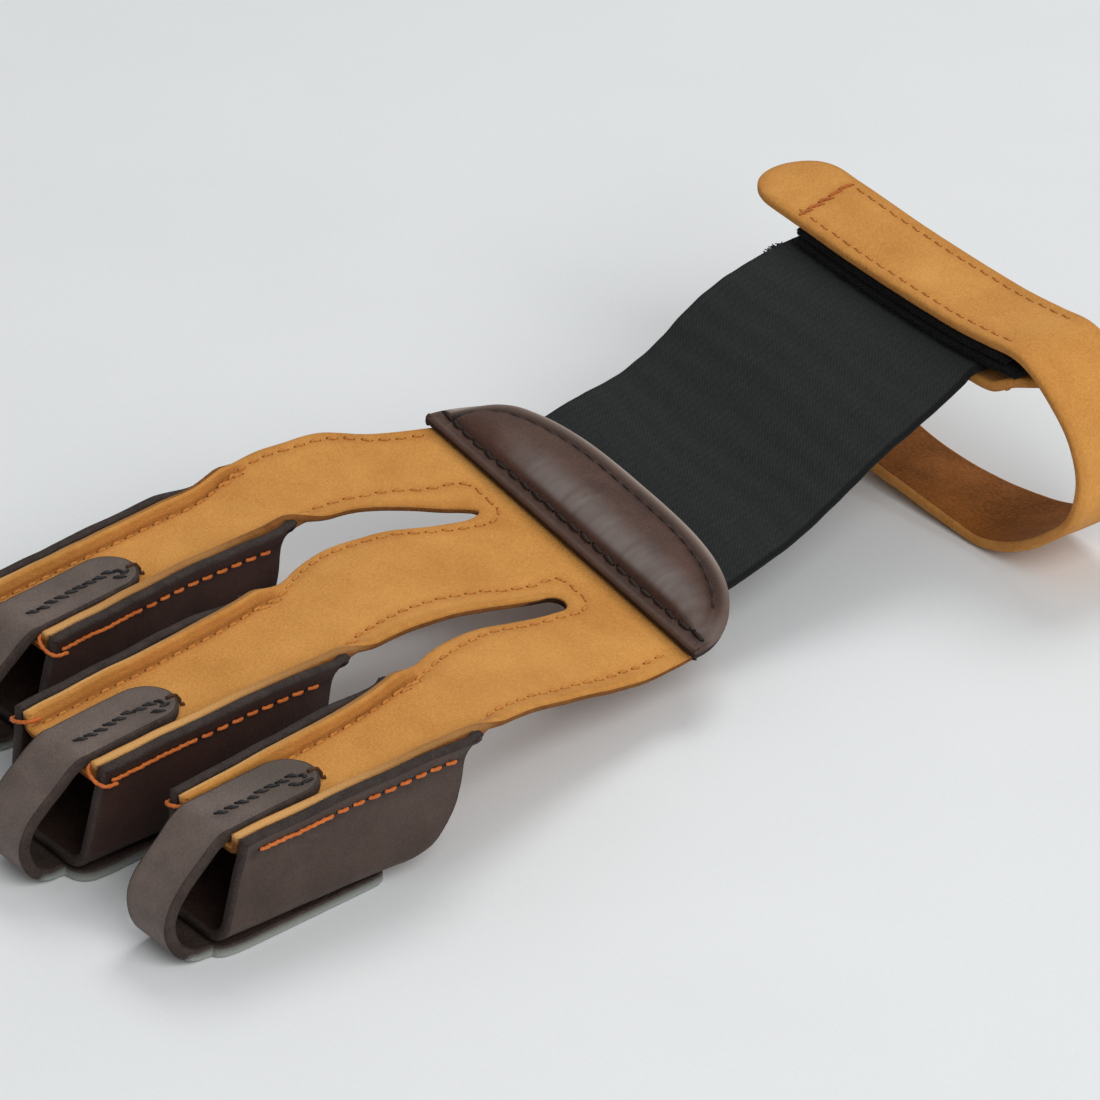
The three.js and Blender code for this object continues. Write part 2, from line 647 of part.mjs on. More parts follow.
// The strap's path from the outer ply's free end round the wrist to the inner ply's end
function strapPath() {
  const path = STRAP_TOP_LINE.map(({ x, z }) => new THREE.Vector3(x, 0, z));
  path.push(...STRAP_NEAR_TURN.map(({ x, z }) => new THREE.Vector3(x, 0, z)));
  path.push(...STRAP_TABLE_RUN.map(({ x, z }) => new THREE.Vector3(x, 0, z)));
  path.push(...STRAP_FAR_TURN.map(({ x, z }) => new THREE.Vector3(x, 0, z)));
  for (let i = 0; i <= INNER_PLY_STEPS; i += 1) {
    const x = lerp(INNER_PLY.start, INNER_PLY.underElastic, i / INNER_PLY_STEPS);
    path.push(new THREE.Vector3(x, 0, strapTopZ(x) - INNER_DROP));
  }
  for (const x of [INNER_PLY.clearOfElastic, INNER_PLY.end]) {
    path.push(new THREE.Vector3(x, 0, strapTopZ(x) - INNER_END_DROP));
  }
  return new THREE.CatmullRomCurve3(path, false, 'centripetal');
}

function strapEndHalfWidth(distance) {
  const r = STRAP_WIDTH / 2;
  return distance >= r ? r : Math.sqrt(Math.max(r * r - (r - distance) ** 2, 0));
}

// One row across the strap round a point of its path, with the loop's sag and twist
function strapRow(point, half) {
  const bottom = STRAP_THICK / 2;
  const { reach, below, fully } = STRAP_SAG;
  const sag = reach * (1 - smoothBetween(point.z, fully, below));
  const twistFades = smoothBetween(point.z, STRAP_TWIST_FADES.from, STRAP_TWIST_FADES.to);
  const lift = readTable(STRAP_TWIST, 'x', 'lift', point.x) * (1 - twistFades);
  const row = [];
  for (let c = 0; c <= STRAP_COLUMNS; c += 1) {
    const side = 1 - 2 * c / STRAP_COLUMNS;
    const z = Math.max(point.z + lift * side, bottom);
    row.push(new THREE.Vector3(point.x, STRAP_MIDDLE_Y - sag + half * side, z));
  }
  return row;
}

function wristStrap() {
  const curve = strapPath();
  const length = curve.getLength();
  const r = STRAP_WIDTH / 2;
  const endShares = [];
  for (let i = 0; i < STRAP_END_STEPS; i += 1) {
    const angle = (Math.PI / 2) * ((i + STRAP_END_FIRST) / STRAP_END_STEPS);
    endShares.push(r * (1 - Math.cos(angle)));
  }
  const places = [...endShares];
  const steps = Math.round((length - 2 * r) / STRAP_STEP);
  for (let i = 0; i <= steps; i += 1) places.push(lerp(r, length - r, i / steps));
  places.push(...endShares.map((d) => length - d).reverse());
  const grid = places.map((place) => {
    const p = curve.getPointAt(place / length);
    return strapRow(p, strapEndHalfWidth(Math.min(place, length - place)));
  });
  return makeMesh('wrist_strap', sheetSolid([grid], STRAP_THICK), 'tanNubuck');
}

function tape(name, span, drop) {
  const grid = [];
  for (let i = 0; i <= TAPE_STEPS; i += 1) {
    const x = lerp(span.from, span.to, i / TAPE_STEPS);
    const row = [];
    for (let c = 0; c <= TAPE_COLUMNS; c += 1) {
      const y = STRAP_MIDDLE_Y + TAPE_WIDTH * (0.5 - c / TAPE_COLUMNS);
      row.push(new THREE.Vector3(x, y, strapTopZ(x) - drop));
    }
    grid.push(row);
  }
  return makeMesh(name, sheetSolid([grid], TAPE_THICK), 'tapeBlack');
}

const glove = new THREE.Group();
glove.add(backPanel());
for (const finger of FINGERS) glove.add(fingerStall(finger));
for (const finger of FINGERS) glove.add(tipStrap(finger));
glove.add(wristPatch());
glove.add(elasticStrap());
glove.add(wristStrap());
glove.add(tape('hook_tape', HOOK_SPAN, HOOK_DROP));
glove.add(tape('loop_tape', LOOP_SPAN, LOOP_DROP));
glove.position.set(-LAYOUT_CENTRE.x, -LAYOUT_CENTRE.y, 0);

export default glove;
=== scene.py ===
# %% [markdown]
# # A shooting glove of leather and elastic
# The glove protects three fingers that draw a bowstring. A tan nubuck panel lies on the back of
# the hand and splits into three tongues. A dark leather stall hangs under each tongue and takes a
# finger. A strap of soft leather wraps each fingertip. At the wrist a puffed leather patch holds a
# wide black elastic, and the elastic ends in a leather strap that closes round the wrist with hook
# and loop tape.
#
# Every piece but the sewing is a sheet, so the lesson has one main helper: it takes a fine grid of
# points along the middle of the leather and gives it thickness, a soft edge and a little relief.
# After that each cell only has to say where the leather goes.

# %% Frame
import math
import random

import bpy
import numpy as np
from mathutils import Matrix, Vector, kdtree, noise
from mathutils.bvhtree import BVHTree


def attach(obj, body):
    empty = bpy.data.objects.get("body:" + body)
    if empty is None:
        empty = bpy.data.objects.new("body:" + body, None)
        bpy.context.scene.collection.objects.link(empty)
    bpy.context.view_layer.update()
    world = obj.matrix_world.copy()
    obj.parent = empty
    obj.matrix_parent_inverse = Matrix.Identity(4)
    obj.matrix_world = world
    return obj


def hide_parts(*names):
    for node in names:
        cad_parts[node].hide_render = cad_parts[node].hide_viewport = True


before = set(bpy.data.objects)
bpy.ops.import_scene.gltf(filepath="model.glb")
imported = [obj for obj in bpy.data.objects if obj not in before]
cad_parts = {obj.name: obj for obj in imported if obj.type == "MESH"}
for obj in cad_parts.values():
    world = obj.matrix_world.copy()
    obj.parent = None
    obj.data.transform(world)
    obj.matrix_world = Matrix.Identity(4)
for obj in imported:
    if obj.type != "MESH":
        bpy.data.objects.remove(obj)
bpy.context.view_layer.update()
MM = 0.001
LAYOUT_CENTRE = np.array([21.79, -26.12, 0.0])
print("CAD pieces:", sorted(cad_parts))

# %% [markdown]
# ## Camera
# The camera comes first, because the picture is what the work is judged against. The photograph
# looks down at about thirty degrees past the near side of the fingers, from a metre away with a
# long lens, so lines along the glove stay almost parallel. A pinhole with a 196 mm lens does that.

# %% Camera
ELEVATION, TURN = math.radians(30), math.radians(38)
VIEW_DISTANCE, LENS = 1000.0, 196.36
look = Vector((
    -math.cos(TURN) * math.cos(ELEVATION),
    math.sin(TURN) * math.cos(ELEVATION),
    -math.sin(ELEVATION),
))
right = Vector((math.sin(TURN), math.cos(TURN), 0))
camera = bpy.data.objects.new("camera", bpy.data.cameras.new("camera"))
bpy.context.scene.collection.objects.link(camera)
axes = Matrix((right, right.cross(look), -look)).transposed()
camera.matrix_world = axes.to_4x4()
camera.location = (-look * VIEW_DISTANCE - Vector(LAYOUT_CENTRE)) * MM
camera.data.lens = LENS
camera.data.sensor_width = 36
camera.data.clip_start, camera.data.clip_end = 0.05, 50
bpy.context.scene.camera = camera
print("camera at", [round(v, 3) for v in camera.location])

# %% [markdown]
# ## Sizes
# A glove maker works from paper patterns. Here the patterns are short tables in millimetres: the
# panel's edges from the wrist to the fingertips, the heights of the elastic, the line of the strap.
# A smooth curve through each column gives every value between the rows. The layout's own middle is
# subtracted when a mesh is made, so that all numbers can stay as they were measured.

# %% Sizes of the panel and its fingers
PANEL_THICK, STALL_THICK, TIP_THICK, PATCH_THICK = 1.6, 1.8, 2.0, 2.0
ELASTIC_THICK, STRAP_THICK, TAPE_THICK = 1.5, 1.8, 1.7
GAP, SEAM_GAP = 0.3, 0.45

PANEL_COLUMNS = ("y", "far", "a_far", "a_near", "b_far", "b_near", "near")
PANEL_EDGES = np.array([
    (-12, -14.0, 6.6, 8.0, 31.2, 35.0, 53.2),
    (-18, -16.1, 6.3, 8.4, 31.1, 35.0, 54.2),
    (-24, -18.8, 4.5, 8.3, 31.0, 35.0, 55.4),
    (-30, -23.1, 0.6, 7.1, 30.6, 35.5, 56.3),
    (-37, -24.7, -2.9, 5.1, 30.2, 35.8, 57.5),
    (-43, -25.4, -3.8, 4.6, 30.2, 36.1, 59.0),
    (-50, -22.6, -4.0, 4.8, 31.2, 37.9, 60.7),
    (-57, -20.4, -2.9, 7.2, 32.7, 40.9, 62.8),
    (-65, -20.0, -2.8, 11.4, 34.4, 45.8, 65.4),
    (-75, -19.2, -2.2, 14.0, 35.2, 48.6, 65.8),
    (-90, -17.8, -0.7, 15.8, 35.4, 50.6, 65.8),
    (-104, -16.6, 0.6, 17.0, 36.0, 52.0, 66.0),
    (-116, -15.6, 1.8, 18.4, 36.6, 53.2, 66.2),
])
SLOTS = (
    {"far_edge": "a_far", "near_edge": "a_near", "end": -20.4, "round": 4.0},
    {"far_edge": "b_far", "near_edge": "b_near", "end": -23.0, "round": 2.2},
)
FINGERS = (
    {"name": "far", "edges": ("far", "a_far"), "front": -100.5, "rear": -50.5,
     "tip_end": -77.6, "drift": 1.7, "handled": 0.35},
    {"name": "middle", "edges": ("a_near", "b_far"), "front": -116.0, "rear": -68.5,
     "tip_end": -95.4, "drift": 1.9, "handled": 0.35},
    {"name": "near", "edges": ("b_near", "near"), "front": -111.0, "rear": -66.0,
     "tip_end": -90.8, "drift": 0.0, "handled": 0.95},
)
TONGUE_FRONT_Z, TONGUE_REAR_Z = 17.8, 19.8
PALM_FAR_Z, PALM_FAR_X, PALM_SLOPE = 21.2, -15.0, 0.176
PALM_BLEND = (-66.0, -14.0)
FIN_HEIGHT, FIN_RUN_IN = 3.2, 9.0
FIN_FLAT, FIN_UPRIGHT, FIN_LIFT = (0, 1.5, 2.8, 4.0), (0, 0.05, 0.35, 1.5), (1, 0.52, 0.12, 0)


def smooth_table(places, values, at):
    """A smooth curve through a short table, flat beyond its ends."""
    places, values = np.asarray(places, float), np.asarray(values, float)
    if places[0] > places[-1]:
        places, values = places[::-1], values[::-1]
    at = np.clip(at, places[0], places[-1])
    slope = np.gradient(values, places, edge_order=1)
    slope[1:-1] = (values[2:] - values[:-2]) / (places[2:] - places[:-2])
    i = np.clip(np.searchsorted(places, at) - 1, 0, len(places) - 2)
    width = places[i + 1] - places[i]
    t = (at - places[i]) / width
    return (
        (2 * t**3 - 3 * t**2 + 1) * values[i]
        + (t**3 - 2 * t**2 + t) * width * slope[i]
        + (3 * t**2 - 2 * t**3) * values[i + 1]
        + (t**3 - t**2) * width * slope[i + 1]
    )


def smooth_between(value, start, end):
    t = np.clip((np.asarray(value, float) - start) / (end - start), 0, 1)
    return t * t * (3 - 2 * t)


def lerp(a, b, t):
    return a + (b - a) * t


def edge_x(edge, y):
    return smooth_table(PANEL_EDGES[:, 0], PANEL_EDGES[:, PANEL_COLUMNS.index(edge)], y)


def tongue_z(finger, y):
    t = np.clip((y - finger["front"]) / (finger["rear"] - finger["front"]), 0, 1)
    return lerp(TONGUE_FRONT_Z, TONGUE_REAR_Z, t)


def palm_z(x):
    return PALM_FAR_Z - PALM_SLOPE * (x - PALM_FAR_X)


def panel_z(finger, x, y):
    return lerp(tongue_z(finger, y), palm_z(x), smooth_between(y, *PALM_BLEND))


def fin_rise(finger, y):
    rear = finger["rear"]
    return smooth_between(-np.asarray(y, float), -(rear + FIN_RUN_IN), -(rear - 2))


def tongue_middle(finger, y):
    far, near = finger["edges"]
    return (edge_x(far, y) + edge_x(near, y)) / 2


print("fingers:", {f["name"]: round(float(edge_x(f["edges"][1], -90) - edge_x(f["edges"][0], -90)), 1)
                   for f in FINGERS}, "mm wide at y = -90")

# %% [markdown]
# ## From a line on paper to a sheet of leather
# Real leather is a sheet with a face side, a flesh side and a cut edge, and each looks different.
# A Solidify modifier could thicken a surface, but it can't round the cut edge or press the face in
# along a seam without also moving the flesh. The helper below does it directly: it joins the grids
# that share points, finds the normal at each point, puts one copy of the surface on each side of it
# and closes the boundary with a narrow rounded band. The three parts get three material slots.
# Two masks go with the mesh, so that a finish can burnish the cut edges and darken the seams, and a
# piece can add marks of its own, such as painted light on the fins' up-facing cut edges.

# %% Distances, dents and joined grids
def nearest_of(points, targets):
    """Number of the nearest target for each point, and its distance in millimetres."""
    tree = kdtree.KDTree(len(targets))
    for i, p in enumerate(targets):
        tree.insert(p, i)
    tree.balance()
    found = [tree.find(p) for p in points]
    return np.array([f[1] for f in found]), np.array([f[2] for f in found])


def nearest_distance(points, targets):
    return nearest_of(points, targets)[1]


def wander(points, size, amount, seed=0.0):
    """Slow smooth noise over the points: the soft dents of leather that has been worn."""
    shift = Vector((seed * 7.3, seed * 3.1, seed * 5.7))
    return amount * np.array([noise.noise(Vector(p) / size + shift) for p in points])


def dents(points, rows):
    """Several sizes of dents laid over each other, a row each: size, depth and seed."""
    return sum(wander(points, size, depth, seed) for size, depth, seed in rows)


def join_grids(grids):
    """Points and faces of several grids, with points that coincide joined into one."""
    stacked = np.concatenate([g.reshape(-1, 3) for g in grids])
    _, first, index = np.unique(
        np.round(stacked, 3), axis=0, return_index=True, return_inverse=True)
    index = index.reshape(-1)
    faces, start = [], 0
    for g in grids:
        rows, columns = g.shape[:2]
        ids = index[start:start + rows * columns].reshape(rows, columns)
        start += rows * columns
        quads = np.stack([ids[:-1, :-1], ids[:-1, 1:], ids[1:, 1:], ids[1:, :-1]], -1)
        for quad in quads.reshape(-1, 4).tolist():
            corners = [v for i, v in enumerate(quad) if v != quad[i - 1]]
            if len(set(corners)) > 2:
                faces.append(corners)
    return stacked[first], faces


def point_normals(points, faces):
    normals = np.zeros_like(points)
    for face in faces:
        p = points[face]
        if len(face) == 4:
            normals[face] += np.cross(p[2] - p[0], p[3] - p[1])
        else:
            normals[face] += np.cross(p[1] - p[0], p[2] - p[0])
    return normals / np.maximum(np.linalg.norm(normals, axis=1, keepdims=True), 1e-12)


def free_edges(faces):
    sides = {(f[i - 1], f[i]) for f in faces for i in range(len(f))}
    return [(a, b) for a, b in sides if (b, a) not in sides]


flap = [np.stack([*np.meshgrid(np.arange(3.0), np.arange(2.0) + i), np.zeros((2, 3))], -1)
        for i in range(2)]
print("two grids of 6 points that share a row make", len(join_grids(flap)[0]), "points")

# %% Mesh objects
def add_object(name, points, faces, materials, slots=None, masks=None):
    """A mesh object from points in layout millimetres."""
    mesh = bpy.data.meshes.new(name)
    placed = (np.asarray(points) - LAYOUT_CENTRE) * MM
    mesh.from_pydata(placed.tolist(), [], faces)
    for material in materials:
        mesh.materials.append(material)
    if slots is not None:
        mesh.polygons.foreach_set("material_index", slots)
    for mask, values in (masks or {}).items():
        values = np.asarray(values, float)
        kind = "FLOAT" if values.ndim == 1 else "FLOAT_VECTOR"
        layer = mesh.attributes.new(mask, kind, "POINT")
        layer.data.foreach_set("value" if values.ndim == 1 else "vector", values.reshape(-1))
    mesh.polygons.foreach_set("use_smooth", [True] * len(mesh.polygons))
    mesh.update()
    made = bpy.data.objects.new(name, mesh)
    bpy.context.scene.collection.objects.link(made)
    return made


def stand_for(piece, node):
    """The piece moves with the glove and takes a CAD node's place."""
    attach(piece, "root")
    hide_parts(node)


print("a mesh's origin lies", LAYOUT_CENTRE[:2].tolist(), "mm from the layout's own")

# %% Rounded rim
EDGE_PROFILE = ((1.0, 0.0), (0.62, 0.08), (0.3, 0.3), (0.08, 0.62), (0.0, 1.0))


def outward_of(points, normals, edges):
    """The way out of the sheet, square to its boundary, at each boundary point."""
    outward = np.zeros_like(points)
    for a, b in edges:
        away = np.cross(points[b] - points[a], (normals[a] + normals[b]) / 2)
        outward[a] += away
        outward[b] += away
    return outward / np.maximum(np.linalg.norm(outward, axis=1, keepdims=True), 1e-12)


def rim_rows(rim, top, bottom, outward, normals, rounding):
    """Rows of points round the cut edge, from the face side to the flesh side."""
    steps = [(out, down, 1) for out, down in EDGE_PROFILE[1:]]
    steps += [(out, down, -1) for out, down in reversed(EDGE_PROFILE[1:])]
    rows = []
    for out, down, side in steps:
        middle = top if side > 0 else bottom
        row = middle[rim] + (outward[rim] * (rounding * (1 - out)))
        rows.append(row - side * normals[rim] * (rounding * down))
    return rows


def rim_bands(rim, edges, count, rows, face_over):
    """Faces between the rows, with their slots: 0 while they keep the face's finish, then 2."""
    rings = [{v: v for v in rim}]
    rings += [{v: (2 * count + row * len(rim) + i) for i, v in enumerate(rim)}
              for row in range(rows)]
    rings.append({v: v + count for v in rim})
    faces, slots = [], []
    for a, b in edges:
        for band, (upper, lower) in enumerate(zip(rings, rings[1:])):
            faces.append([upper[b], upper[a], lower[a], lower[b]])
            slots.append(0 if band < face_over else 2)
    return faces, slots


print("a cut edge is rounded in", 2 * len(EDGE_PROFILE) - 1, "bands")

# %% Sheet helper
EDGE_REACH, DRAWN_IN_OVER = 1.3, 3.5
SEAM_REACH = 1.1
RIM_FOLLOWS, FLESH_FOLLOWS = 0.5, 0.4


def sheet_of(name, grids, thickness, materials, relief, seams=(), dip=0.0, rounding=0.6,
             marks=None, face_over=0):
    """A closed sheet round the grids' middle surface. materials: face, flesh and cut edge.

    face_over is how many bands of the rounded edge keep the face's finish.
    """
    points, faces = join_grids(grids)
    normals = point_normals(points, faces)
    edges = sorted(free_edges(faces))
    rim = sorted({v for e in edges for v in e})
    outward = outward_of(points, normals, edges)
    seam = np.zeros(len(points))
    if len(seams):
        seam = np.exp(-(nearest_distance(points, np.concatenate(seams)) / SEAM_REACH) ** 2)
    nearest, from_rim = nearest_of(points, points[rim])
    edge = np.exp(-(from_rim / EDGE_REACH) ** 2)
    lift = relief(points) - dip * seam
    half = thickness / 2
    on_rim = np.zeros(len(points))
    on_rim[rim] = 1
    drawn_in = rounding * np.clip(1 - from_rim / (DRAWN_IN_OVER * rounding), 0, 1)
    pull = outward[rim][nearest] * drawn_in[:, None]
    top = points + (normals.T * (half + lift * (1 - RIM_FOLLOWS * on_rim))).T - pull
    bottom = points + (normals.T * (-half + FLESH_FOLLOWS * lift)).T - pull
    rows = rim_rows(rim, top, bottom, outward, normals, rounding)
    bands, band_slots = rim_bands(rim, edges, len(points), len(rows), face_over)
    flesh = [[v + len(points) for v in reversed(f)] for f in faces]
    slots = [0] * len(faces) + [1] * len(flesh) + band_slots
    round_rim = len(rows) * len(rim)
    masks = {
        "seam": np.concatenate([seam, 0 * seam, np.zeros(round_rim)]),
        "edge": np.concatenate([edge, edge, np.ones(round_rim)]),
    }
    vertices = np.concatenate([top, bottom, *rows])
    for mark, measure in (marks or {}).items():
        masks[mark] = measure(vertices)
    made = add_object(name, vertices, faces + flesh + bands, materials, slots, masks)
    print(name, len(slots), "faces,", len(edges), "cut edges")
    return made


print("a seam's groove fades over", SEAM_REACH, "mm")

# %% [markdown]
# ## Thread
# A seam is what makes leather look sewn. Each stitch is a short length of two-ply thread that comes
# up through one hole, lies on the leather and goes down through the next. A curve object with a
# round bevel would look like wire, so each stitch is a small swept tube whose section has two lobes
# that turn along it, like the two plies. All stitches of a seam are joined in one mesh, and a dark
# dimple at each needle hole is painted shade for the hole's pit. The helper drops the seam's line
# onto the finished leather first, so that the thread follows every dent.

# %% Lines, thread and needle holes
THREAD_SIDES, PLY_DEPTH = 8, 0.17
HOLE_SIDES, HOLE_PROUD, HOLE_DEEP = 8, 0.06, 0.12


def along_path(points):
    steps = np.linalg.norm(np.diff(points, axis=0), axis=1)
    return np.concatenate([[0], np.cumsum(steps)])


def resample(points, step):
    points = np.asarray(points, float)
    run = along_path(points)
    at = np.linspace(0, run[-1], max(2, int(round(run[-1] / step)) + 1))
    return np.stack([np.interp(at, run, points[:, k]) for k in range(3)], -1)


def curve_through(points, fine=24):
    """A smooth curve through points, evenly relaxed where they are unevenly spaced."""
    p = np.asarray(points, float)
    p = np.concatenate([[2 * p[0] - p[1]], p, [2 * p[-1] - p[-2]]])
    made = []
    for a, b, c, d in zip(p, p[1:], p[2:], p[3:]):
        ta, tb, tc = (max(np.linalg.norm(v - u), 1e-4) ** 0.5 for u, v in ((a, b), (b, c), (c, d)))
        start = ((b - a) / ta - (c - a) / (ta + tb) + (c - b) / tb) * tb
        end = ((c - b) / tb - (d - b) / (tb + tc) + (d - c) / tc) * tb
        t = np.linspace(0, 1, fine, endpoint=False)[:, None]
        made.append((2 * t**3 - 3 * t**2 + 1) * b + (t**3 - 2 * t**2 + t) * start
                    + (3 * t**2 - 2 * t**3) * c + (t**3 - t**2) * end)
    return np.concatenate(made + [p[-2:-1]])


def leather_surface(made):
    """The finished surface of a piece, for dropping seams onto it."""
    mesh = made.data
    return BVHTree.FromPolygons([v.co for v in mesh.vertices], [p.vertices for p in mesh.polygons])


def drop_on(surface, points):
    """Nearest points on the leather, with the way out of it, in layout millimetres."""
    found, outs = [], []
    for p in (np.asarray(points) - LAYOUT_CENTRE) * MM:
        place, normal, _, _ = surface.find_nearest(Vector(p))
        found.append(np.array(place) / MM + LAYOUT_CENTRE)
        outs.append(np.array(normal))
    return np.array(found), np.array(outs)


def swept_thread(line, outs, radius, turns):
    """Points and faces of a two-ply thread along a line."""
    forward = np.gradient(line, axis=0)
    forward /= np.linalg.norm(forward, axis=1, keepdims=True)
    across = np.cross(forward, outs)
    across /= np.maximum(np.linalg.norm(across, axis=1, keepdims=True), 1e-9)
    up = np.cross(across, forward)
    angle = np.arange(THREAD_SIDES) / THREAD_SIDES * 2 * math.pi
    phase = np.linspace(0, turns * 2 * math.pi, len(line))[:, None]
    reach = radius * (1 + PLY_DEPTH * np.cos(2 * (angle[None, :] - phase)))
    ring = (line[:, None, :] + (reach * np.cos(angle))[..., None] * across[:, None, :]
            + (reach * np.sin(angle))[..., None] * up[:, None, :])
    ids = np.arange(ring.shape[0] * THREAD_SIDES).reshape(-1, THREAD_SIDES)
    turned = np.roll(ids, -1, axis=1)
    faces = np.stack([ids[:-1], turned[:-1], turned[1:], ids[1:]], -1).reshape(-1, 4).tolist()
    faces.append(ids[0][::-1].tolist())
    faces.append(ids[-1].tolist())
    return ring.reshape(-1, 3), faces


def needle_hole(centre, out, size):
    """Painted shade of a needle hole's pit: a flat dark dimple round the thread,
    just proud of the leather.
    """
    side = np.cross(out, [0.3, 0.5, 0.81])
    side /= np.linalg.norm(side)
    other = np.cross(out, side)
    angle = np.arange(HOLE_SIDES) / HOLE_SIDES * 2 * math.pi
    ring = centre + size * (np.outer(np.cos(angle), side) + np.outer(np.sin(angle), other))
    points = np.concatenate([ring, [centre + HOLE_PROUD * out], [centre - HOLE_DEEP * out]])
    top, bottom = HOLE_SIDES, HOLE_SIDES + 1
    faces = [[i, (i + 1) % HOLE_SIDES, top] for i in range(HOLE_SIDES)]
    faces += [[(i + 1) % HOLE_SIDES, i, bottom] for i in range(HOLE_SIDES)]
    return points, faces


print("a needle hole has", len(needle_hole(np.zeros(3), np.array([0, 0, 1.0]), 0.3)[1]), "faces")

# %% Sewing
STITCH_RINGS, PLY_TURNS, PLY_TURN_LENGTH = 8, 0.9, 2.4
SEAM_STEP, LOOP_STEP = 0.4, 0.35
STITCH_VARIES = (0.94, 1.04)
STITCH_SINKS, STITCH_ARCH, STITCH_FLATNESS = 1.2, 1.75, 0.45
HOLE_SIZE = 1.2


class Sewing:
    """Collects stitches, loops and thread ends of one thread into one mesh."""

    def __init__(self, name, thread, hole, radius=0.3, pitch=2.9, stitch=1.95, seed=1):
        self.name, self.materials = name, [thread, hole]
        self.radius, self.pitch, self.stitch = radius, pitch, stitch
        self.hand = random.Random(seed)
        self.points, self.faces, self.slots, self.count, self.stitches = [], [], [], 0, 0

    def add(self, points, faces, slot):
        self.points.append(points)
        self.faces += [[v + self.count for v in f] for f in faces]
        self.slots += [slot] * len(faces)
        self.count += len(points)

    def row(self, surface, path, sway=0.08, start=0.0):
        """A row of stitches along a path near the surface."""
        line, outs = drop_on(surface, resample(path, SEAM_STEP))
        run = along_path(line)
        at = start
        while at + self.stitch < run[-1]:
            share = np.linspace(0, 1, STITCH_RINGS)
            places = at + share * self.stitch * self.hand.uniform(*STITCH_VARIES)
            middle = np.stack([np.interp(places, run, line[:, k]) for k in range(3)], -1)
            out = np.stack([np.interp(places, run, outs[:, k]) for k in range(3)], -1)
            out /= np.linalg.norm(out, axis=1, keepdims=True)
            side = np.cross(np.gradient(middle, axis=0), out)
            side /= np.linalg.norm(side, axis=1, keepdims=True)
            slant = self.hand.uniform(-sway, sway) + sway * (share - 0.5) * 2
            arch = STITCH_ARCH * np.sin(math.pi * share) ** STITCH_FLATNESS
            height = self.radius * (-STITCH_SINKS + arch)
            thread = middle + side * slant[:, None] + out * height[:, None]
            self.add(*swept_thread(thread, out, self.radius, PLY_TURNS), 0)
            for end in (0, -1):
                self.add(*needle_hole(middle[end] + side[end] * slant[end], out[end],
                                      self.radius * HOLE_SIZE), 1)
            self.stitches += 1
            at += self.pitch

    def loop(self, path):
        """A free length of thread along a smooth path."""
        line = resample(curve_through(path), LOOP_STEP)
        nearly_up = np.tile([0.01, 0.0, 1.0], (len(line), 1))
        turns = along_path(line)[-1] / PLY_TURN_LENGTH
        self.add(*swept_thread(line, nearly_up, self.radius, turns), 0)

    def finish(self):
        made = add_object(self.name, np.concatenate(self.points), self.faces, self.materials,
                          self.slots)
        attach(made, "root")
        print(self.name, self.stitches, "stitches")


print("thread:", THREAD_SIDES, "sides,", STITCH_RINGS, "rings a stitch")

# %% [markdown]
# ## Finishes
# Three effects come back in more than one finish, so each is made once as a node group.
# `hide_grain` gives the slow mottling and the fine grain of a hide, with a size for each in
# millimetres. `wear_masks` reads the two masks that came with the mesh and breaks them up, so that
# seams are darkened and cut edges burnished unevenly. `woven_band` draws the slanting ribs of a
# woven elastic or tape from the band's own flat coordinates, because a weave follows the cloth and
# not the room. The groups only put out tones, masks and heights. Each finish keeps its own shader
# and picks its own colours.

# %% Node helpers
def srgb(red, green, blue):
    """A colour read in 0 to 255, as Blender's linear colour."""
    linear = [((v / 255 + 0.055) / 1.055) ** 2.4 if v > 10 else v / 255 / 12.92
              for v in (red, green, blue)]
    return (*linear, 1.0)


def node(tree, kind, inputs=None, **settings):
    made = tree.nodes.new(kind)
    for key, value in settings.items():
        setattr(made, key, value)
    for key, value in (inputs or {}).items():
        if isinstance(value, bpy.types.NodeSocket):
            tree.links.new(value, made.inputs[key])
        else:
            made.inputs[key].default_value = value
    return made


def math_node(tree, operation, a, b=0.5, clamp=False):
    return node(tree, "ShaderNodeMath", {0: a, 1: b}, operation=operation,
                use_clamp=clamp).outputs[0]


def times(tree, a, b):
    return math_node(tree, "MULTIPLY", a, b)


def plus(tree, a, b):
    return math_node(tree, "ADD", a, b)


def map_range(tree, value, low, high, to_low=0.0, to_high=1.0):
    return node(tree, "ShaderNodeMapRange", {
        "Value": value, "From Min": low, "From Max": high, "To Min": to_low, "To Max": to_high,
    }).outputs["Result"]


def mix_colour(tree, share, first, second):
    mixed = node(tree, "ShaderNodeMix", {"Factor": share}, data_type="RGBA")
    for index, value in ((6, first), (7, second)):
        if isinstance(value, bpy.types.NodeSocket):
            tree.links.new(value, mixed.inputs[index])
        else:
            mixed.inputs[index].default_value = value
    return mixed.outputs[2]


def new_group(name, inputs, outputs):
    group = bpy.data.node_groups.new(name, "ShaderNodeTree")
    for socket, value in inputs.items():
        made = group.interface.new_socket(
            name=socket, in_out="INPUT", socket_type="NodeSocketFloat")
        made.default_value = value
    for socket in outputs:
        group.interface.new_socket(name=socket, in_out="OUTPUT", socket_type="NodeSocketFloat")
    return group, group.nodes.new("NodeGroupInput"), group.nodes.new("NodeGroupOutput")


def place_group(tree, group, **inputs):
    made = tree.nodes.new("ShaderNodeGroup")
    made.node_tree = group
    for key, value in inputs.items():
        made.inputs[key.replace("_", " ")].default_value = value
    return made


def in_millimetres(tree):
    where = node(tree, "ShaderNodeTexCoord").outputs["Object"]
    return node(tree, "ShaderNodeVectorMath", {0: where, "Scale": 1000.0},
                operation="SCALE").outputs[0]


print("a mid tan is", [round(v, 3) for v in srgb(200, 140, 70)[:3]], "in linear colour")

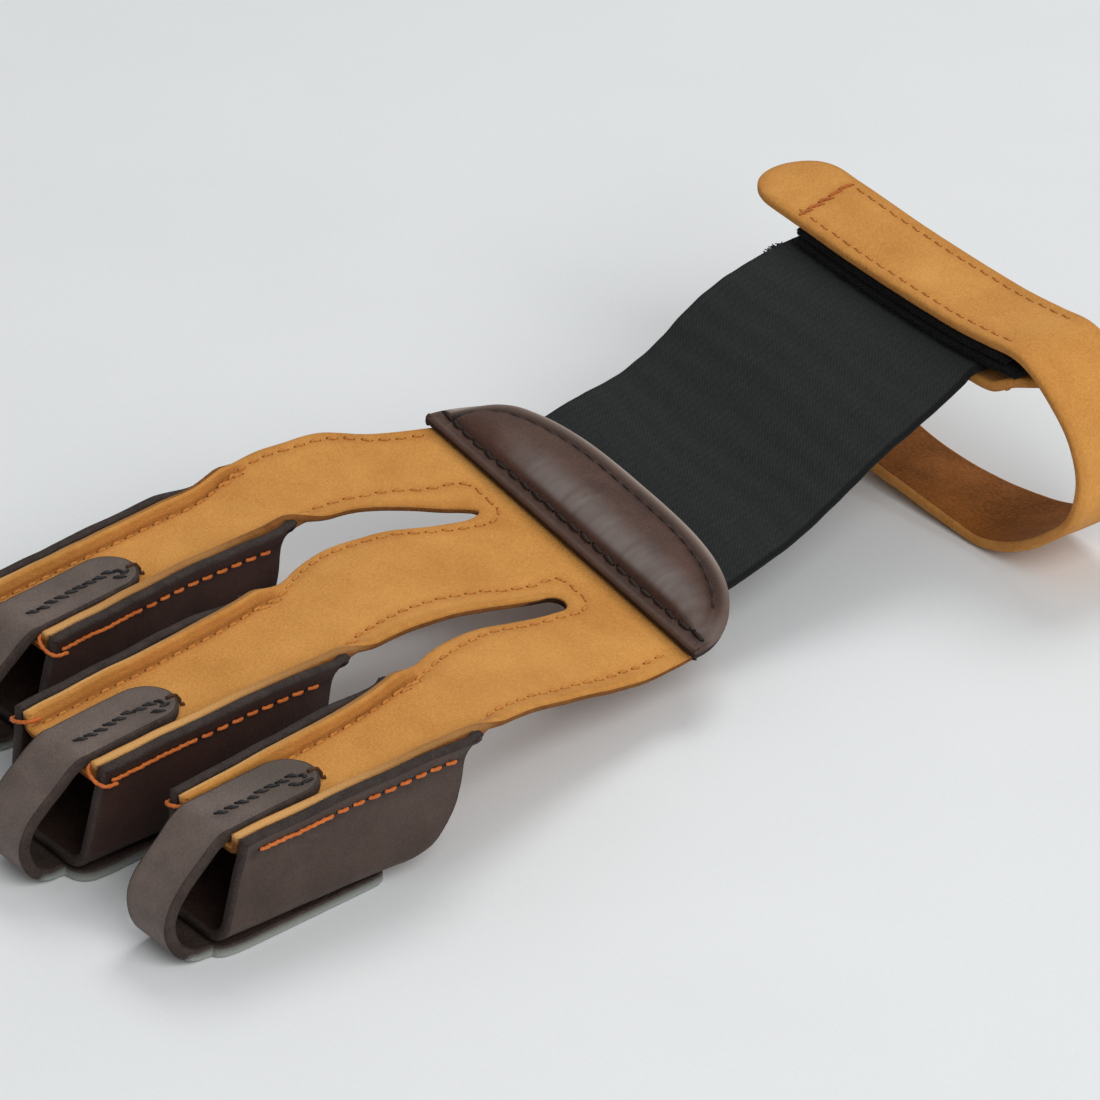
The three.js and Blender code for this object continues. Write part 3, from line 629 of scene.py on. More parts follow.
# %% Hide grain
hide_grain, goes_in, comes_out = new_group(
    "hide_grain", {"Mottle Size": 8.0, "Grain Size": 0.5}, ("Tone", "Height"))
where = in_millimetres(hide_grain)
slow_scale = math_node(hide_grain, "DIVIDE", 1.0, goes_in.outputs["Mottle Size"])
fine_scale = math_node(hide_grain, "DIVIDE", 1.0, goes_in.outputs["Grain Size"])
slow = node(hide_grain, "ShaderNodeTexNoise",
            {"Vector": where, "Scale": slow_scale, "Detail": 4.0, "Roughness": 0.6})
fine = node(hide_grain, "ShaderNodeTexNoise",
            {"Vector": where, "Scale": fine_scale, "Detail": 3.0, "Roughness": 0.65})
pores = node(hide_grain, "ShaderNodeTexVoronoi", {"Vector": where, "Scale": fine_scale})
tone = plus(hide_grain, times(hide_grain, slow.outputs["Fac"], 0.5),
            times(hide_grain, fine.outputs["Fac"], 0.5))
hide_grain.links.new(map_range(hide_grain, tone, 0.36, 0.64), comes_out.inputs["Tone"])
height = plus(hide_grain, times(hide_grain, fine.outputs["Fac"], 0.6),
              times(hide_grain, pores.outputs["Distance"], 0.5))
hide_grain.links.new(height, comes_out.inputs["Height"])

print("hide_grain nodes:", len(hide_grain.nodes))

# %% Wear masks
wear_masks, goes_in, comes_out = new_group(
    "wear_masks", {"Seam Amount": 1.0, "Edge Amount": 1.0}, ("Seam", "Edge"))
where = in_millimetres(wear_masks)
patchy = node(wear_masks, "ShaderNodeTexNoise", {"Vector": where, "Scale": 0.55, "Detail": 3.0})
uneven = map_range(wear_masks, patchy.outputs["Fac"], 0.3, 0.7, 0.45, 1.0)
for mask, socket in (("seam", "Seam"), ("edge", "Edge")):
    drawn = node(wear_masks, "ShaderNodeAttribute", attribute_name=mask).outputs["Fac"]
    worn = times(wear_masks, drawn, uneven)
    worn = math_node(wear_masks, "MULTIPLY", worn, goes_in.outputs[f"{socket} Amount"], clamp=True)
    wear_masks.links.new(worn, comes_out.inputs[socket])

print("wear_masks nodes:", len(wear_masks.nodes))

# %% Woven band
woven_band, goes_in, comes_out = new_group(
    "woven_band", {"Pitch": 1.0, "Slant": 1.0}, ("Height", "Tone"))
laid = node(woven_band, "ShaderNodeAttribute", attribute_name="flat").outputs["Vector"]
cross = node(woven_band, "ShaderNodeSeparateXYZ", {0: laid})
width_way, length_way = cross.outputs["X"], cross.outputs["Y"]
slanted = plus(woven_band, width_way, times(woven_band, length_way, goes_in.outputs["Slant"]))
ribs = []
for way, stretch in ((slanted, 1.0), (width_way, 0.55)):
    turns = math_node(woven_band, "DIVIDE", way, goes_in.outputs["Pitch"])
    turns = times(woven_band, turns, 2 * math.pi * stretch)
    ribs.append(map_range(woven_band, math_node(woven_band, "SINE", turns), -1.0, 1.0))
twill = plus(woven_band, times(woven_band, ribs[0], 0.7), times(woven_band, ribs[1], 0.3))
fluff = node(woven_band, "ShaderNodeTexNoise",
             {"Vector": in_millimetres(woven_band), "Scale": 1.6, "Detail": 4.0})
twill = plus(woven_band, times(woven_band, twill, 0.6),
             times(woven_band, fluff.outputs["Fac"], 0.4))
woven_band.links.new(twill, comes_out.inputs["Height"])
woven_band.links.new(times(woven_band, twill, fluff.outputs["Fac"]), comes_out.inputs["Tone"])
print("groups:", [g.name for g in bpy.data.node_groups])

# %% [markdown]
# ## Leather, elastic and thread
# Nubuck is sanded leather: it is matt, its colour drifts from tan to honey, and a soft sheen lights
# its fibres at a low angle. The stalls and the fingertip straps are smooth calf, with a finer grain
# and a dull shine. The flesh side of each is rougher and browner, and the cut edge shows the raw
# hide. One function makes them all from a light colour, a dark colour, the two wear colours and
# up to three marks of a piece's own.

# %% Leather finish
finishes_made = []


def start_material(name):
    finishes_made.append(name)
    material = bpy.data.materials.new(name)
    material.use_nodes = True
    tree = material.node_tree
    shader = next(n for n in tree.nodes if n.type == "BSDF_PRINCIPLED")
    return material, tree, shader


def leather(name, light, dark, seam, edge, sizes=(8.0, 0.5), rough=(0.8, 0.95), bump=0.3,
            sheen=0.0, wear=(0.8, 0.6), specular=0.5, marked=None, trimmed=None, crease_shade=None):
    material, tree, shader = start_material(name)
    grain = place_group(tree, hide_grain, Mottle_Size=sizes[0], Grain_Size=sizes[1])
    masks = place_group(tree, wear_masks, Seam_Amount=wear[0], Edge_Amount=wear[1])
    colour = mix_colour(tree, grain.outputs["Tone"], srgb(*dark), srgb(*light))
    colour = mix_colour(tree, masks.outputs["Edge"], colour, srgb(*edge))
    colour = mix_colour(tree, masks.outputs["Seam"], colour, srgb(*seam))
    for drawn, tint in (("mark", marked), ("trim", trimmed), ("fold", crease_shade)):
        if tint:
            mask = node(tree, "ShaderNodeAttribute", attribute_name=drawn).outputs["Fac"]
            colour = mix_colour(tree, mask, colour, srgb(*tint))
    tree.links.new(colour, shader.inputs["Base Color"])
    tree.links.new(map_range(tree, grain.outputs["Tone"], 0, 1, rough[1], rough[0]),
                   shader.inputs["Roughness"])
    raised = node(tree, "ShaderNodeBump", {
        "Height": grain.outputs["Height"], "Strength": bump, "Distance": 0.0004})
    tree.links.new(raised.outputs["Normal"], shader.inputs["Normal"])
    shader.inputs["Sheen Weight"].default_value = sheen
    shader.inputs["Sheen Roughness"].default_value = 0.4
    shader.inputs["Specular IOR Level"].default_value = specular
    return material


print("sheen, gloss and bump are plain values on each leather's own shader")

# %% The leathers
FLESH = {"rough": (0.88, 0.98), "bump": 0.6, "specular": 0.12}
RAW_TAN = {"rough": (0.9, 0.98), "bump": 0.6, "wear": (0.3, 0.5), "specular": 0.12}
# Painted shade for the deep end of the near slot, on its cut edge and the face's rim.
SLOT_END_SHADE = (44, 26, 14)

# Painted shade on the tan face: the fold tint darkens the crease at each fin's foot, the trim tint
# the deep end of the near slot.
TAN_FACE = leather(
    "tan_nubuck_face", (212, 152, 80), (186, 127, 62), seam=(160, 94, 38), edge=(160, 104, 46),
    sizes=(14.0, 0.45), rough=(0.88, 0.98), bump=0.45, sheen=0.04, wear=(0.3, 0.45),
    specular=0.12, trimmed=SLOT_END_SHADE, crease_shade=(138, 80, 32))
TAN_FLESH = leather(
    "tan_nubuck_flesh", (166, 106, 50), (134, 80, 34), seam=(116, 66, 26), edge=(140, 88, 42),
    sizes=(6.0, 0.7), rough=(0.9, 1.0), bump=0.6, sheen=0.04, wear=(0.4, 0.4), specular=0.12)
# Painted light and shade on the tan cut edge: the mark paints the fins' up-facing edges pale as lit
# from above; the darker base is partly the edge's own colour and partly painted shade.
TAN_CUT = leather(
    "tan_nubuck_cut_edge", (150, 98, 50), (104, 62, 28), seam=(110, 66, 30), edge=(118, 74, 36),
    sizes=(2.5, 0.35), marked=(206, 156, 96), trimmed=SLOT_END_SHADE, **RAW_TAN)
STRAP_FLESH = leather(
    "strap_brown_inside", (160, 94, 26), (110, 62, 14), seam=(80, 44, 14), edge=(118, 66, 22),
    sizes=(12.0, 0.6), rough=(0.7, 0.9), bump=0.5, wear=(0.4, 0.4), specular=0.25)
STRAP_CUT = leather(
    "strap_cut_edge", (200, 142, 78), (166, 108, 52), seam=(140, 84, 36), edge=(186, 128, 66),
    sizes=(3.0, 0.35), **RAW_TAN)
STALL_FACE = leather(
    "stall_calf_face", (75, 57, 48), (57, 43, 36), seam=(30, 21, 18), edge=(60, 47, 44),
    sizes=(7.0, 0.5), rough=(0.48, 0.64), bump=0.25, wear=(0.8, 0.5), specular=0.35)
# Painted shade: a darker copy of the stall face for the far and middle stalls, whose walls lie in
# shade between the fingers.
STALL_FACE_SHADED = leather(
    "stall_calf_face_painted_shade", (58, 35, 28), (43, 25, 20), seam=(24, 16, 14), edge=(50, 36, 33),
    sizes=(7.0, 0.5), rough=(0.48, 0.64), bump=0.25, wear=(0.8, 0.5), specular=0.3)
STALL_FLESH = leather(
    "stall_calf_inside", (56, 40, 33), (36, 25, 21), seam=(26, 18, 16), edge=(40, 30, 27),
    sizes=(5.0, 0.6), wear=(0.4, 0.4), **FLESH)
STALL_CUT = leather(
    "stall_calf_cut_edge", (62, 50, 45), (36, 28, 26), seam=(26, 21, 20), edge=(50, 41, 37),
    sizes=(2.5, 0.35), rough=(0.6, 0.8), bump=0.5, wear=(0.2, 0.3), specular=0.25)
TIP_FACE = leather(
    "tip_leather_face", (110, 95, 87), (89, 76, 69), seam=(46, 38, 34), edge=(76, 64, 58),
    sizes=(5.0, 0.4), rough=(0.5, 0.68), bump=0.3, wear=(0.75, 0.5), specular=0.35,
    trimmed=(80, 67, 59))
TIP_FLESH = leather(
    "tip_leather_inside", (66, 54, 49), (46, 37, 33), seam=(40, 32, 29), edge=(52, 43, 40),
    sizes=(4.0, 0.5), wear=(0.3, 0.3), **FLESH)
TIP_CUT = leather(
    "tip_leather_cut_edge", (74, 62, 57), (46, 38, 34), seam=(40, 33, 30), edge=(58, 48, 44),
    sizes=(2.5, 0.35), rough=(0.75, 0.92), bump=0.5, wear=(0.2, 0.2), specular=0.2,
    marked=(148, 152, 146))
# Painted light on the patch face: the mark tint is a grey painted sheen on the dome's front slope,
# the trim tint a pale painted highlight along the rim's lip.
PATCH_FACE = leather(
    "patch_leather_face", (84, 56, 44), (58, 38, 31), seam=(26, 17, 15), edge=(86, 70, 62),
    sizes=(9.0, 0.4), rough=(0.56, 0.68), bump=0.08, wear=(0.9, 0.6), specular=0.26,
    marked=(112, 102, 98), trimmed=(162, 148, 138))
PATCH_FLESH = leather(
    "patch_leather_inside", (62, 48, 41), (42, 32, 27), seam=(32, 24, 21), edge=(48, 38, 33),
    sizes=(5.0, 0.5), wear=(0.3, 0.3), **FLESH)
PATCH_CUT = leather(
    "patch_leather_cut_edge", (52, 38, 34), (30, 21, 19), seam=(26, 19, 17), edge=(40, 30, 27),
    sizes=(2.5, 0.35), rough=(0.6, 0.8), bump=0.5, wear=(0.2, 0.1), specular=0.2)
print("leathers:", len(finishes_made))


# %% Woven band, tape and thread finishes
def woven(name, light, dark, pitch, slant, bump, rough=0.9, sheen=0.06):
    material, tree, shader = start_material(name)
    weave = place_group(tree, woven_band, Pitch=pitch, Slant=slant)
    colour = mix_colour(tree, weave.outputs["Tone"], srgb(*dark), srgb(*light))
    tree.links.new(colour, shader.inputs["Base Color"])
    raised = node(tree, "ShaderNodeBump", {
        "Height": weave.outputs["Height"], "Strength": bump, "Distance": 0.0003})
    tree.links.new(raised.outputs["Normal"], shader.inputs["Normal"])
    shader.inputs["Roughness"].default_value = rough
    shader.inputs["Sheen Weight"].default_value = sheen
    shader.inputs["Sheen Roughness"].default_value = 0.5
    shader.inputs["Specular IOR Level"].default_value = 0.15
    return material


def thread(name, light, dark, rough=0.6):
    material, tree, shader = start_material(name)
    grain = place_group(tree, hide_grain, Mottle_Size=3.0, Grain_Size=0.25)
    colour = mix_colour(tree, grain.outputs["Tone"], srgb(*dark), srgb(*light))
    tree.links.new(colour, shader.inputs["Base Color"])
    raised = node(tree, "ShaderNodeBump", {
        "Height": grain.outputs["Height"], "Strength": 0.4, "Distance": 0.0001})
    tree.links.new(raised.outputs["Normal"], shader.inputs["Normal"])
    shader.inputs["Roughness"].default_value = rough
    shader.inputs["Specular IOR Level"].default_value = 0.25
    return material


ELASTIC = woven("elastic_weave", (52, 55, 55), (25, 27, 27), 0.72, 0.85, 0.45)
ELASTIC_CUT = woven("elastic_cut_edge", (30, 31, 31), (13, 14, 14), 0.6, 0.0, 0.6)
TAPE = woven("tape_weave", (22, 22, 22), (9, 9, 9), 0.55, 1.0, 0.4)
THREAD_RUST = thread("thread_rust", (188, 106, 46), (150, 78, 30))
THREAD_HONEY = thread("thread_honey", (206, 140, 66), (172, 108, 44))
THREAD_ORANGE = thread("thread_orange", (214, 120, 56), (176, 84, 30))
THREAD_BLACK = thread("thread_black", (46, 42, 42), (18, 16, 16), 0.5)
THREAD_BROWN = thread("thread_brown", (92, 56, 36), (52, 28, 18))
THREAD_DARK = thread("thread_dark_brown", (50, 36, 30), (26, 18, 15), 0.55)
# Painted shade: the needle-hole dimples stand for the shade inside each hole.
HOLE_SHADE_TAN = thread("needle_hole_shade_in_tan", (146, 88, 38), (112, 62, 22), 0.95)
HOLE_SHADE_DARK = thread("needle_hole_shade_in_dark", (26, 20, 18), (12, 9, 8), 0.95)
print("finishes:", len(finishes_made))

# %% [markdown]
# ## The back panel
# The panel is one cut of nubuck: a palm that splits at two slots into three tongues. Along each
# tongue the edges turn up into narrow fins, where the stall is sewn on, and the fins fade out as
# they run back over the palm. A flat mesh with a bevelled edge would miss this, so each row across
# a tongue is worked out from its two edges: distances from the cut edge stay the same while the
# leather turns from flat to upright. Tongues share their points over the palm, so the three grids
# become one sheet there. A slow noise gives the fins their wavering line, the stalls' tops too.
# Three marks go with the mesh, all painted light: the fins' up-facing cut edges painted pale as lit
# from above, painted shade at the deep end of the near slot, and painted shade in the crease at
# the foot of each fin.

# %% Rows across a tongue
FIN_PLACES = (0.0, 0.35, 0.75, 1.2, 1.6, 2.0, 2.4, 2.75, 3.1, 3.5, 4.0)
FLAT_COLUMNS = 17
ROW_STEP, LEAST_STEP, SLOT_ROWS = 0.8, 0.15, 8
REAR_ROW, PALM_END = -12.0, -44.1
FIN_WAVER, FIN_RAGGED = 0.32, 0.16


def slot_edges(finger, y):
    """Both edges of a tongue, with the slots closed towards the wrist."""
    edges = [edge_x(name, y) for name in finger["edges"]]
    for slot in SLOTS:
        middle = (edge_x(slot["far_edge"], y) + edge_x(slot["near_edge"], y)) / 2
        depth = np.clip((slot["end"] - y) / slot["round"], 0, 1)
        opening = np.sqrt(1 - (1 - depth) ** 2)
        for name in (slot["far_edge"], slot["near_edge"]):
            if name in finger["edges"]:
                side = finger["edges"].index(name)
                edges[side] = lerp(middle, edges[side], opening)
    return edges


def wave(place, seed, amount, size=9.0):
    """One slow noise along a line, the same for every piece that asks with the same seed."""
    return amount * noise.noise(Vector((place / size, seed * 5.3, 1.7)))


def fin_waver(edge, y):
    return wave(y, PANEL_COLUMNS.index(edge), FIN_WAVER) + wave(
        y, 20 + PANEL_COLUMNS.index(edge), FIN_WAVER / 4, 3.5)


def fin_points(finger, side, places, y, closed=True):
    """Points at given distances from one cut edge of a tongue, turned up where the fin stands."""
    name = finger["edges"][side]
    edge = slot_edges(finger, y)[side] if closed else edge_x(name, y)
    rise, inward = fin_rise(finger, y), 1 - 2 * side
    upright = smooth_table(FIN_FLAT, FIN_UPRIGHT, places)
    lift = smooth_table(FIN_FLAT, FIN_LIFT, places)
    x = edge + inward * lerp(places, upright, rise) + rise * lift * fin_waver(name, y)
    tall = FIN_HEIGHT + wave(y, 40 + PANEL_COLUMNS.index(name), FIN_RAGGED, 6.0)
    z = panel_z(finger, x, y) + tall * rise * lift
    return np.stack([x, np.full_like(x, y), z], -1)


def tongue_row(finger, y):
    far = fin_points(finger, 0, np.array(FIN_PLACES), y)
    near = fin_points(finger, 1, np.array(FIN_PLACES), y)[::-1]
    x = np.linspace(far[-1, 0], near[0, 0], FLAT_COLUMNS + 2)[1:-1]
    flat = np.stack([x, np.full_like(x, y), panel_z(finger, x, y)], -1)
    return np.concatenate([far, flat, near])


def palm_stations():
    """Stations shared by all tongues: even steps, and finer ones round the slot ends."""
    stations = list(np.arange(REAR_ROW, PALM_END, -ROW_STEP))
    for slot in SLOTS:
        for angle in np.linspace(0, math.pi / 2, SLOT_ROWS):
            stations.append(slot["end"] - slot["round"] * (1 - math.cos(angle)))
    kept = []
    for y in sorted(stations, reverse=True):
        exact = any(abs(y - slot["end"]) < 1e-6 for slot in SLOTS)
        if kept and kept[-1] - y < LEAST_STEP:
            if not exact:
                continue
            kept.pop()
        kept.append(y)
    return kept


print("palm stations:", len(palm_stations()))

# %% Panel grid
PATCH = {"middle": 20.3, "half_width": 35.3, "front": -14.4, "depth": 18.0, "power": 3.0}
PANEL_UNDER_PATCH = 16.0
REAR_SHARES = (0.15, 0.3, 0.45, 0.6, 0.7, 0.8, 0.87, 0.92)


def half_span(y):
    return (1 - ((y - PATCH["front"]) / PANEL_UNDER_PATCH) ** 2) ** (1 / PATCH["power"])


def rear_row(finger, share):
    """Under the patch the panel narrows with the patch's curved edge."""
    start = tongue_row(finger, REAR_ROW)
    y = lerp(REAR_ROW, PATCH["front"] + PANEL_UNDER_PATCH, share)
    x = PATCH["middle"] + (start[:, 0] - PATCH["middle"]) * half_span(y) / half_span(REAR_ROW)
    return np.stack([x, np.full_like(x, y), palm_z(x)], -1)


def panel_grid(finger):
    palm = palm_stations()
    steps = int(round((palm[-1] - finger["front"]) / ROW_STEP))
    stations = palm + list(np.linspace(palm[-1], finger["front"], steps + 1)[1:])
    rows = [rear_row(finger, share) for share in reversed(REAR_SHARES)]
    rows += [tongue_row(finger, y) for y in stations]
    return np.array(rows[::-1])


print("panel grids:", [panel_grid(finger).shape[:2] for finger in FINGERS])

# %% Panel seams
SEAM_INSETS = {
    "far": ((-60, 3.0), (-50, 2.4), (-14, 2.2)),
    "a_far": ((-60, 3.0), (-45, 2.6), (-36, 2.8), (-32, 4.0), (-27, 5.1), (-20, 6.3)),
    "a_near": ((-66, 3.0), (-60, 1.9), (-45, 1.6), (-30, 1.8), (-22, 2.4)),
    "b_far": ((-68, 3.0), (-57, 3.8), (-50, 4.4), (-35, 4.3), (-29, 3.4), (-20, 3.8)),
    "b_near": ((-70, 3.0), (-60, 3.0), (-50, 3.0), (-40, 2.0), (-24, 1.8)),
    "near": ((-72, 3.0), (-60, 2.6), (-14, 2.6)),
}
SEAM_CORNERS = (
    ((0.3, -18.6), (1.4, -17.5), (5.0, -17.3), (9.0, -17.6), (10.4, -19.0)),
    ((27.3, -20.6), (28.4, -19.5), (31.2, -19.3), (34.6, -19.6), (36.2, -21.5)),
)
SEAM_FRONT, SEAM_REAR, SEAM_SAMPLE, FIN_LEANS = 2.2, -15.5, 0.8, 0.6


def edge_seam(finger, side, y_end, out=0.0):
    """The seam line beside one cut edge from the fingertip to y_end, lifted out of the leather."""
    table = np.array(SEAM_INSETS[finger["edges"][side]], float)
    line = []
    for y in np.arange(finger["front"] + SEAM_FRONT, y_end, SEAM_SAMPLE):
        inset = smooth_table(table[:, 0], table[:, 1], y)
        point = fin_points(finger, side, np.array([inset]), y, closed=False)[0]
        rise = fin_rise(finger, y)
        point += out * np.array([(1 - 2 * side) * rise, 0, 1 - FIN_LEANS * rise])
        line.append(point)
    return line


def panel_seams(out=0.0):
    """Four lines: the outer two edges, and one round each slot."""
    far, middle, near = FINGERS
    lines = [edge_seam(far, 0, SEAM_REAR, out), edge_seam(near, 1, SEAM_REAR, out)]
    for slot, corner, (left, right_one) in zip(SLOTS, SEAM_CORNERS, ((far, middle), (middle, near))):
        turn = [(x, y, palm_z(x) + out) for x, y in corner]
        going = edge_seam(left, 1, corner[0][1] - 1, out)
        coming = edge_seam(right_one, 0, corner[-1][1] - 1, out)
        ends = np.array([going[-1], *turn, coming[-1]])
        lines.append(going[:-1] + list(curve_through(ends)) + coming[::-1][1:])
    return [np.array(line) for line in lines]


print("panel seams, mm:", [round(float(along_path(line)[-1])) for line in panel_seams()])

# %% Panel sheet
PANEL_DENTS, PANEL_FINE = ((17.0, 0.5, 1), (6.5, 0.16, 2)), ((2.2, 0.035, 3),)
PALM_FRONT, PALM_REAR, TONGUES_KEEP = (-66, -48), (-20, -14), 0.16


def panel_relief(points):
    """Dents of wear on the open palm, fading under the patch and along the tongues."""
    y = points[:, 1]
    open_palm = smooth_between(y, *PALM_FRONT) * (1 - smooth_between(y, *PALM_REAR))
    soft = dents(points, PANEL_DENTS) * lerp(TONGUES_KEEP, 1.0, open_palm)
    return soft * (y < PALM_REAR[1]) + dents(points, PANEL_FINE)


LIT_ABOVE, LIT_FROM_WRIST, LIT_PALEST, LIT_LEAST = (19.6, 21.0), (54, 70), (72, 104), 0.35
SLOT_SHADE_OVER, WALL_WITHIN = (12.0, 5.0), (0.8, 1.05)
FOLD_PAST_REAR, FOLD_REACH, FOLD_SHADE = 3.0, 1.15, 0.8


def lit_fin_edge(points):
    """Painted light: the fins' top cut edges made pale as lit from above, most at the fingertips,
    fading with the fins towards the palm.
    """
    towards_tips = -points[:, 1]
    pale = smooth_between(points[:, 2], *LIT_ABOVE)
    pale = pale * lerp(LIT_LEAST, 1.0, smooth_between(towards_tips, *LIT_PALEST))
    return pale * smooth_between(towards_tips, *LIT_FROM_WRIST)


def slot_end_shade(points):
    """Painted shade at the deep end of the near slot: the cut edge darkened up to the rim
    of the face.
    """
    end, (_, middle, near) = SLOTS[1]["end"], FINGERS
    rim = []
    for y in np.linspace(end - SLOT_SHADE_OVER[0], end, 120):
        for finger, side in ((middle, 1), (near, 0)):
            x = float(slot_edges(finger, y)[side])
            rim.append((x, y, float(palm_z(x))))
    in_wall = 1 - smooth_between(nearest_distance(points, rim), *WALL_WITHIN)
    return in_wall * smooth_between(points[:, 1], end - SLOT_SHADE_OVER[0], end - SLOT_SHADE_OVER[1])


def fold_shade(points):
    """Painted shade in the crease at the foot of each fin."""
    creases = [edge_seam(finger, side, finger["rear"] + FOLD_PAST_REAR)
               for finger in FINGERS for side in (0, 1)]
    from_crease = nearest_distance(points, np.concatenate(creases))
    return FOLD_SHADE * np.exp(-(from_crease / FOLD_REACH) ** 2)


TAN = [TAN_FACE, TAN_FLESH, TAN_CUT]
# All three marks are painted light: pale lit fin edges, shade at the near slot's end, shade in the
# fin creases.
panel = sheet_of("back_panel_leather", [panel_grid(f) for f in FINGERS], PANEL_THICK, TAN,
                 panel_relief, panel_seams(), dip=0.2, rounding=0.55, face_over=4,
                 marks={"mark": lit_fin_edge, "trim": slot_end_shade, "fold": fold_shade})
stand_for(panel, "back_panel")
panel_surface = leather_surface(panel)

# %% [markdown]
# ## The finger stalls
# Each stall is a U of thinner calf that hangs from the fins and takes a finger: two walls that lean
# in a little, round bottom corners and a flat sole. Its rear edge is cut back in a sweep, so that
# the finger can bend, and its front edge rakes forward. A cylinder squashed flat would give neither
# cut, so the section is walked as a line (wall, corner, sole, corner, wall) and each point of it
# gets its own front and rear. Its raw top edge shows beside the tan one as a dull grey line. The
# far and middle stalls get a darker face colour than the near one: painted shade, for their walls
# that lie in shade between the fingers.

# %% Stall shape
STALL_BOTTOM_Z, STALL_LEAN, STALL_CORNER, STALL_RAKE = 3.2, 1.5, 4.0, 3.0
STALL_TOP_Z = TONGUE_REAR_Z + FIN_HEIGHT
REAR_DIP = {"over": 14.0, "far": 2.2, "near": 0.5}
REAR_CUT = np.array([(0, 0), (2, 3.0), (8, 4.0), (12, 5.0), (16, 7.4), (19, 10.8), (22, 14.0),
                     (40, 14.6)])
STALL_ROWS, WALL_ROWS, CORNER_ROWS, SOLE_ROWS = 64, 26, 9, 16
FOLLOWS_FIN = (3.0, 7.0)


def wall_x(edge, sign, y):
    slope = (edge_x(edge, y + 1) - edge_x(edge, y - 1)) / 2
    offset = PANEL_THICK / 2 + SEAM_GAP + STALL_THICK / 2
    return edge_x(edge, y) + sign * offset * np.hypot(1, slope)


def stall_section():
    """Half of the section: depth below the top, distance inward, distance along it."""
    straight = STALL_TOP_Z - STALL_BOTTOM_Z - STALL_CORNER
    t = np.linspace(0, 1, WALL_ROWS) ** 1.15
    wall = np.stack([straight * t, STALL_LEAN * t, straight * t], -1)
    angle = np.linspace(0, math.pi / 2, CORNER_ROWS)[1:]
    corner = np.stack([straight + STALL_CORNER * np.sin(angle),
                       STALL_LEAN + STALL_CORNER * (1 - np.cos(angle)),
                       straight + STALL_CORNER * angle], -1)
    return np.concatenate([wall, corner])


def stall_point(finger, node, side, share):
    depth, inward, along = node
    edge, sign = finger["edges"][side], 2 * side - 1
    front = finger["front"] - STALL_RAKE * depth / (TONGUE_FRONT_Z + FIN_HEIGHT - STALL_BOTTOM_Z)
    rear = finger["rear"] - float(smooth_table(REAR_CUT[:, 0], REAR_CUT[:, 1], along))
    y = lerp(front, rear, share)
    beside_fin = 1 - smooth_between(depth, *FOLLOWS_FIN)
    x = wall_x(edge, sign, y) - sign * inward + fin_waver(edge, y) * beside_fin
    dip = REAR_DIP["near" if side else "far"]
    top = tongue_z(finger, y) + FIN_HEIGHT
    top -= dip * smooth_between(y, finger["rear"] - REAR_DIP["over"], finger["rear"])
    top += wave(y, 60 + PANEL_COLUMNS.index(edge), FIN_RAGGED, 7.0) * beside_fin
    fall = (top - STALL_BOTTOM_Z) / (STALL_TOP_Z - STALL_BOTTOM_Z)
    return np.array([float(x), y, float(top - depth * fall)])


def stall_grid(finger):
    half, rows = stall_section(), []
    for share in np.linspace(0, 1, STALL_ROWS):
        near = np.array([stall_point(finger, node, 1, share) for node in half])
        far = np.array([stall_point(finger, node, 0, share) for node in half])[::-1]
        t = np.linspace(0, 1, SOLE_ROWS)[1:-1, None]
        rows.append(np.concatenate([near, lerp(near[-1], far[0], t), far]))
    return np.array(rows)


print("stall grids:", [stall_grid(finger).shape[:2] for finger in FINGERS])

# %% Stalls
STALL_SEAM_DEPTH, STALL_SEAM_SPAN = 2.9, (0.045, 0.985)
STALL_DENTS, STALL_FINE = ((13.0, 0.62, 5), (5.0, 0.15, 6)), ((2.0, 0.03, 7),)
STALL_STIFF_TOP, STALL_STIFF_FOOT, FOOT_KEEPS = (13.5, 17.5), (3.6, 7.0), 0.12


def stall_seam(finger, side, out=0.0):
    """The line where the stall is sewn to the fin, on the outer wall."""
    node = (STALL_SEAM_DEPTH, STALL_LEAN * 0.2, STALL_SEAM_DEPTH)
    places = np.linspace(*STALL_SEAM_SPAN, 60)
    line = np.array([stall_point(finger, node, side, share) for share in places])
    return line + np.array([out * (2 * side - 1), 0, 0])


def stall_relief(finger):
    """Soft dents in the walls, other ones on each finger; stiff under the seam and at the foot."""
    (size, depth, seed), small = STALL_DENTS

    def relief(points):
        z = points[:, 2]
        soft = dents(points, ((size, depth, seed + finger["front"]), small))
        below_fin = 1 - smooth_between(z, *STALL_STIFF_TOP)
        above_pad = lerp(FOOT_KEEPS, 1.0, smooth_between(z, *STALL_STIFF_FOOT))
        return soft * below_fin * above_pad + dents(points, STALL_FINE)
    return relief


stall_surfaces = {}
for finger in FINGERS:
    seams = [stall_seam(finger, 0), stall_seam(finger, 1)]
    # The far and middle stalls take the darker face, painted shade for their walls between the
    # fingers.
    face = STALL_FACE if finger["name"] == "near" else STALL_FACE_SHADED
    stall = sheet_of(f"stall_leather_{finger['name']}", [stall_grid(finger)], STALL_THICK,
                     [face, STALL_FLESH, STALL_CUT], stall_relief(finger), seams,
                     dip=0.22, rounding=0.65)
    stand_for(stall, f"finger_stall_{finger['name']}")
    stall_surfaces[finger["name"]] = leather_surface(stall)

# %% [markdown]
# ## The fingertip straps
# Each of these is one T-shaped cut. Its broad end is a pad under the stall, and the narrow end comes
# up round the fingertip and lies on the tongue, where it is sewn. It could be bent with an armature
# or a curve modifier, but the pad must stay flat on the table, so the narrow end is a grid that
# follows one smooth line, and the pad's shoulders are two grids that share its outer columns.

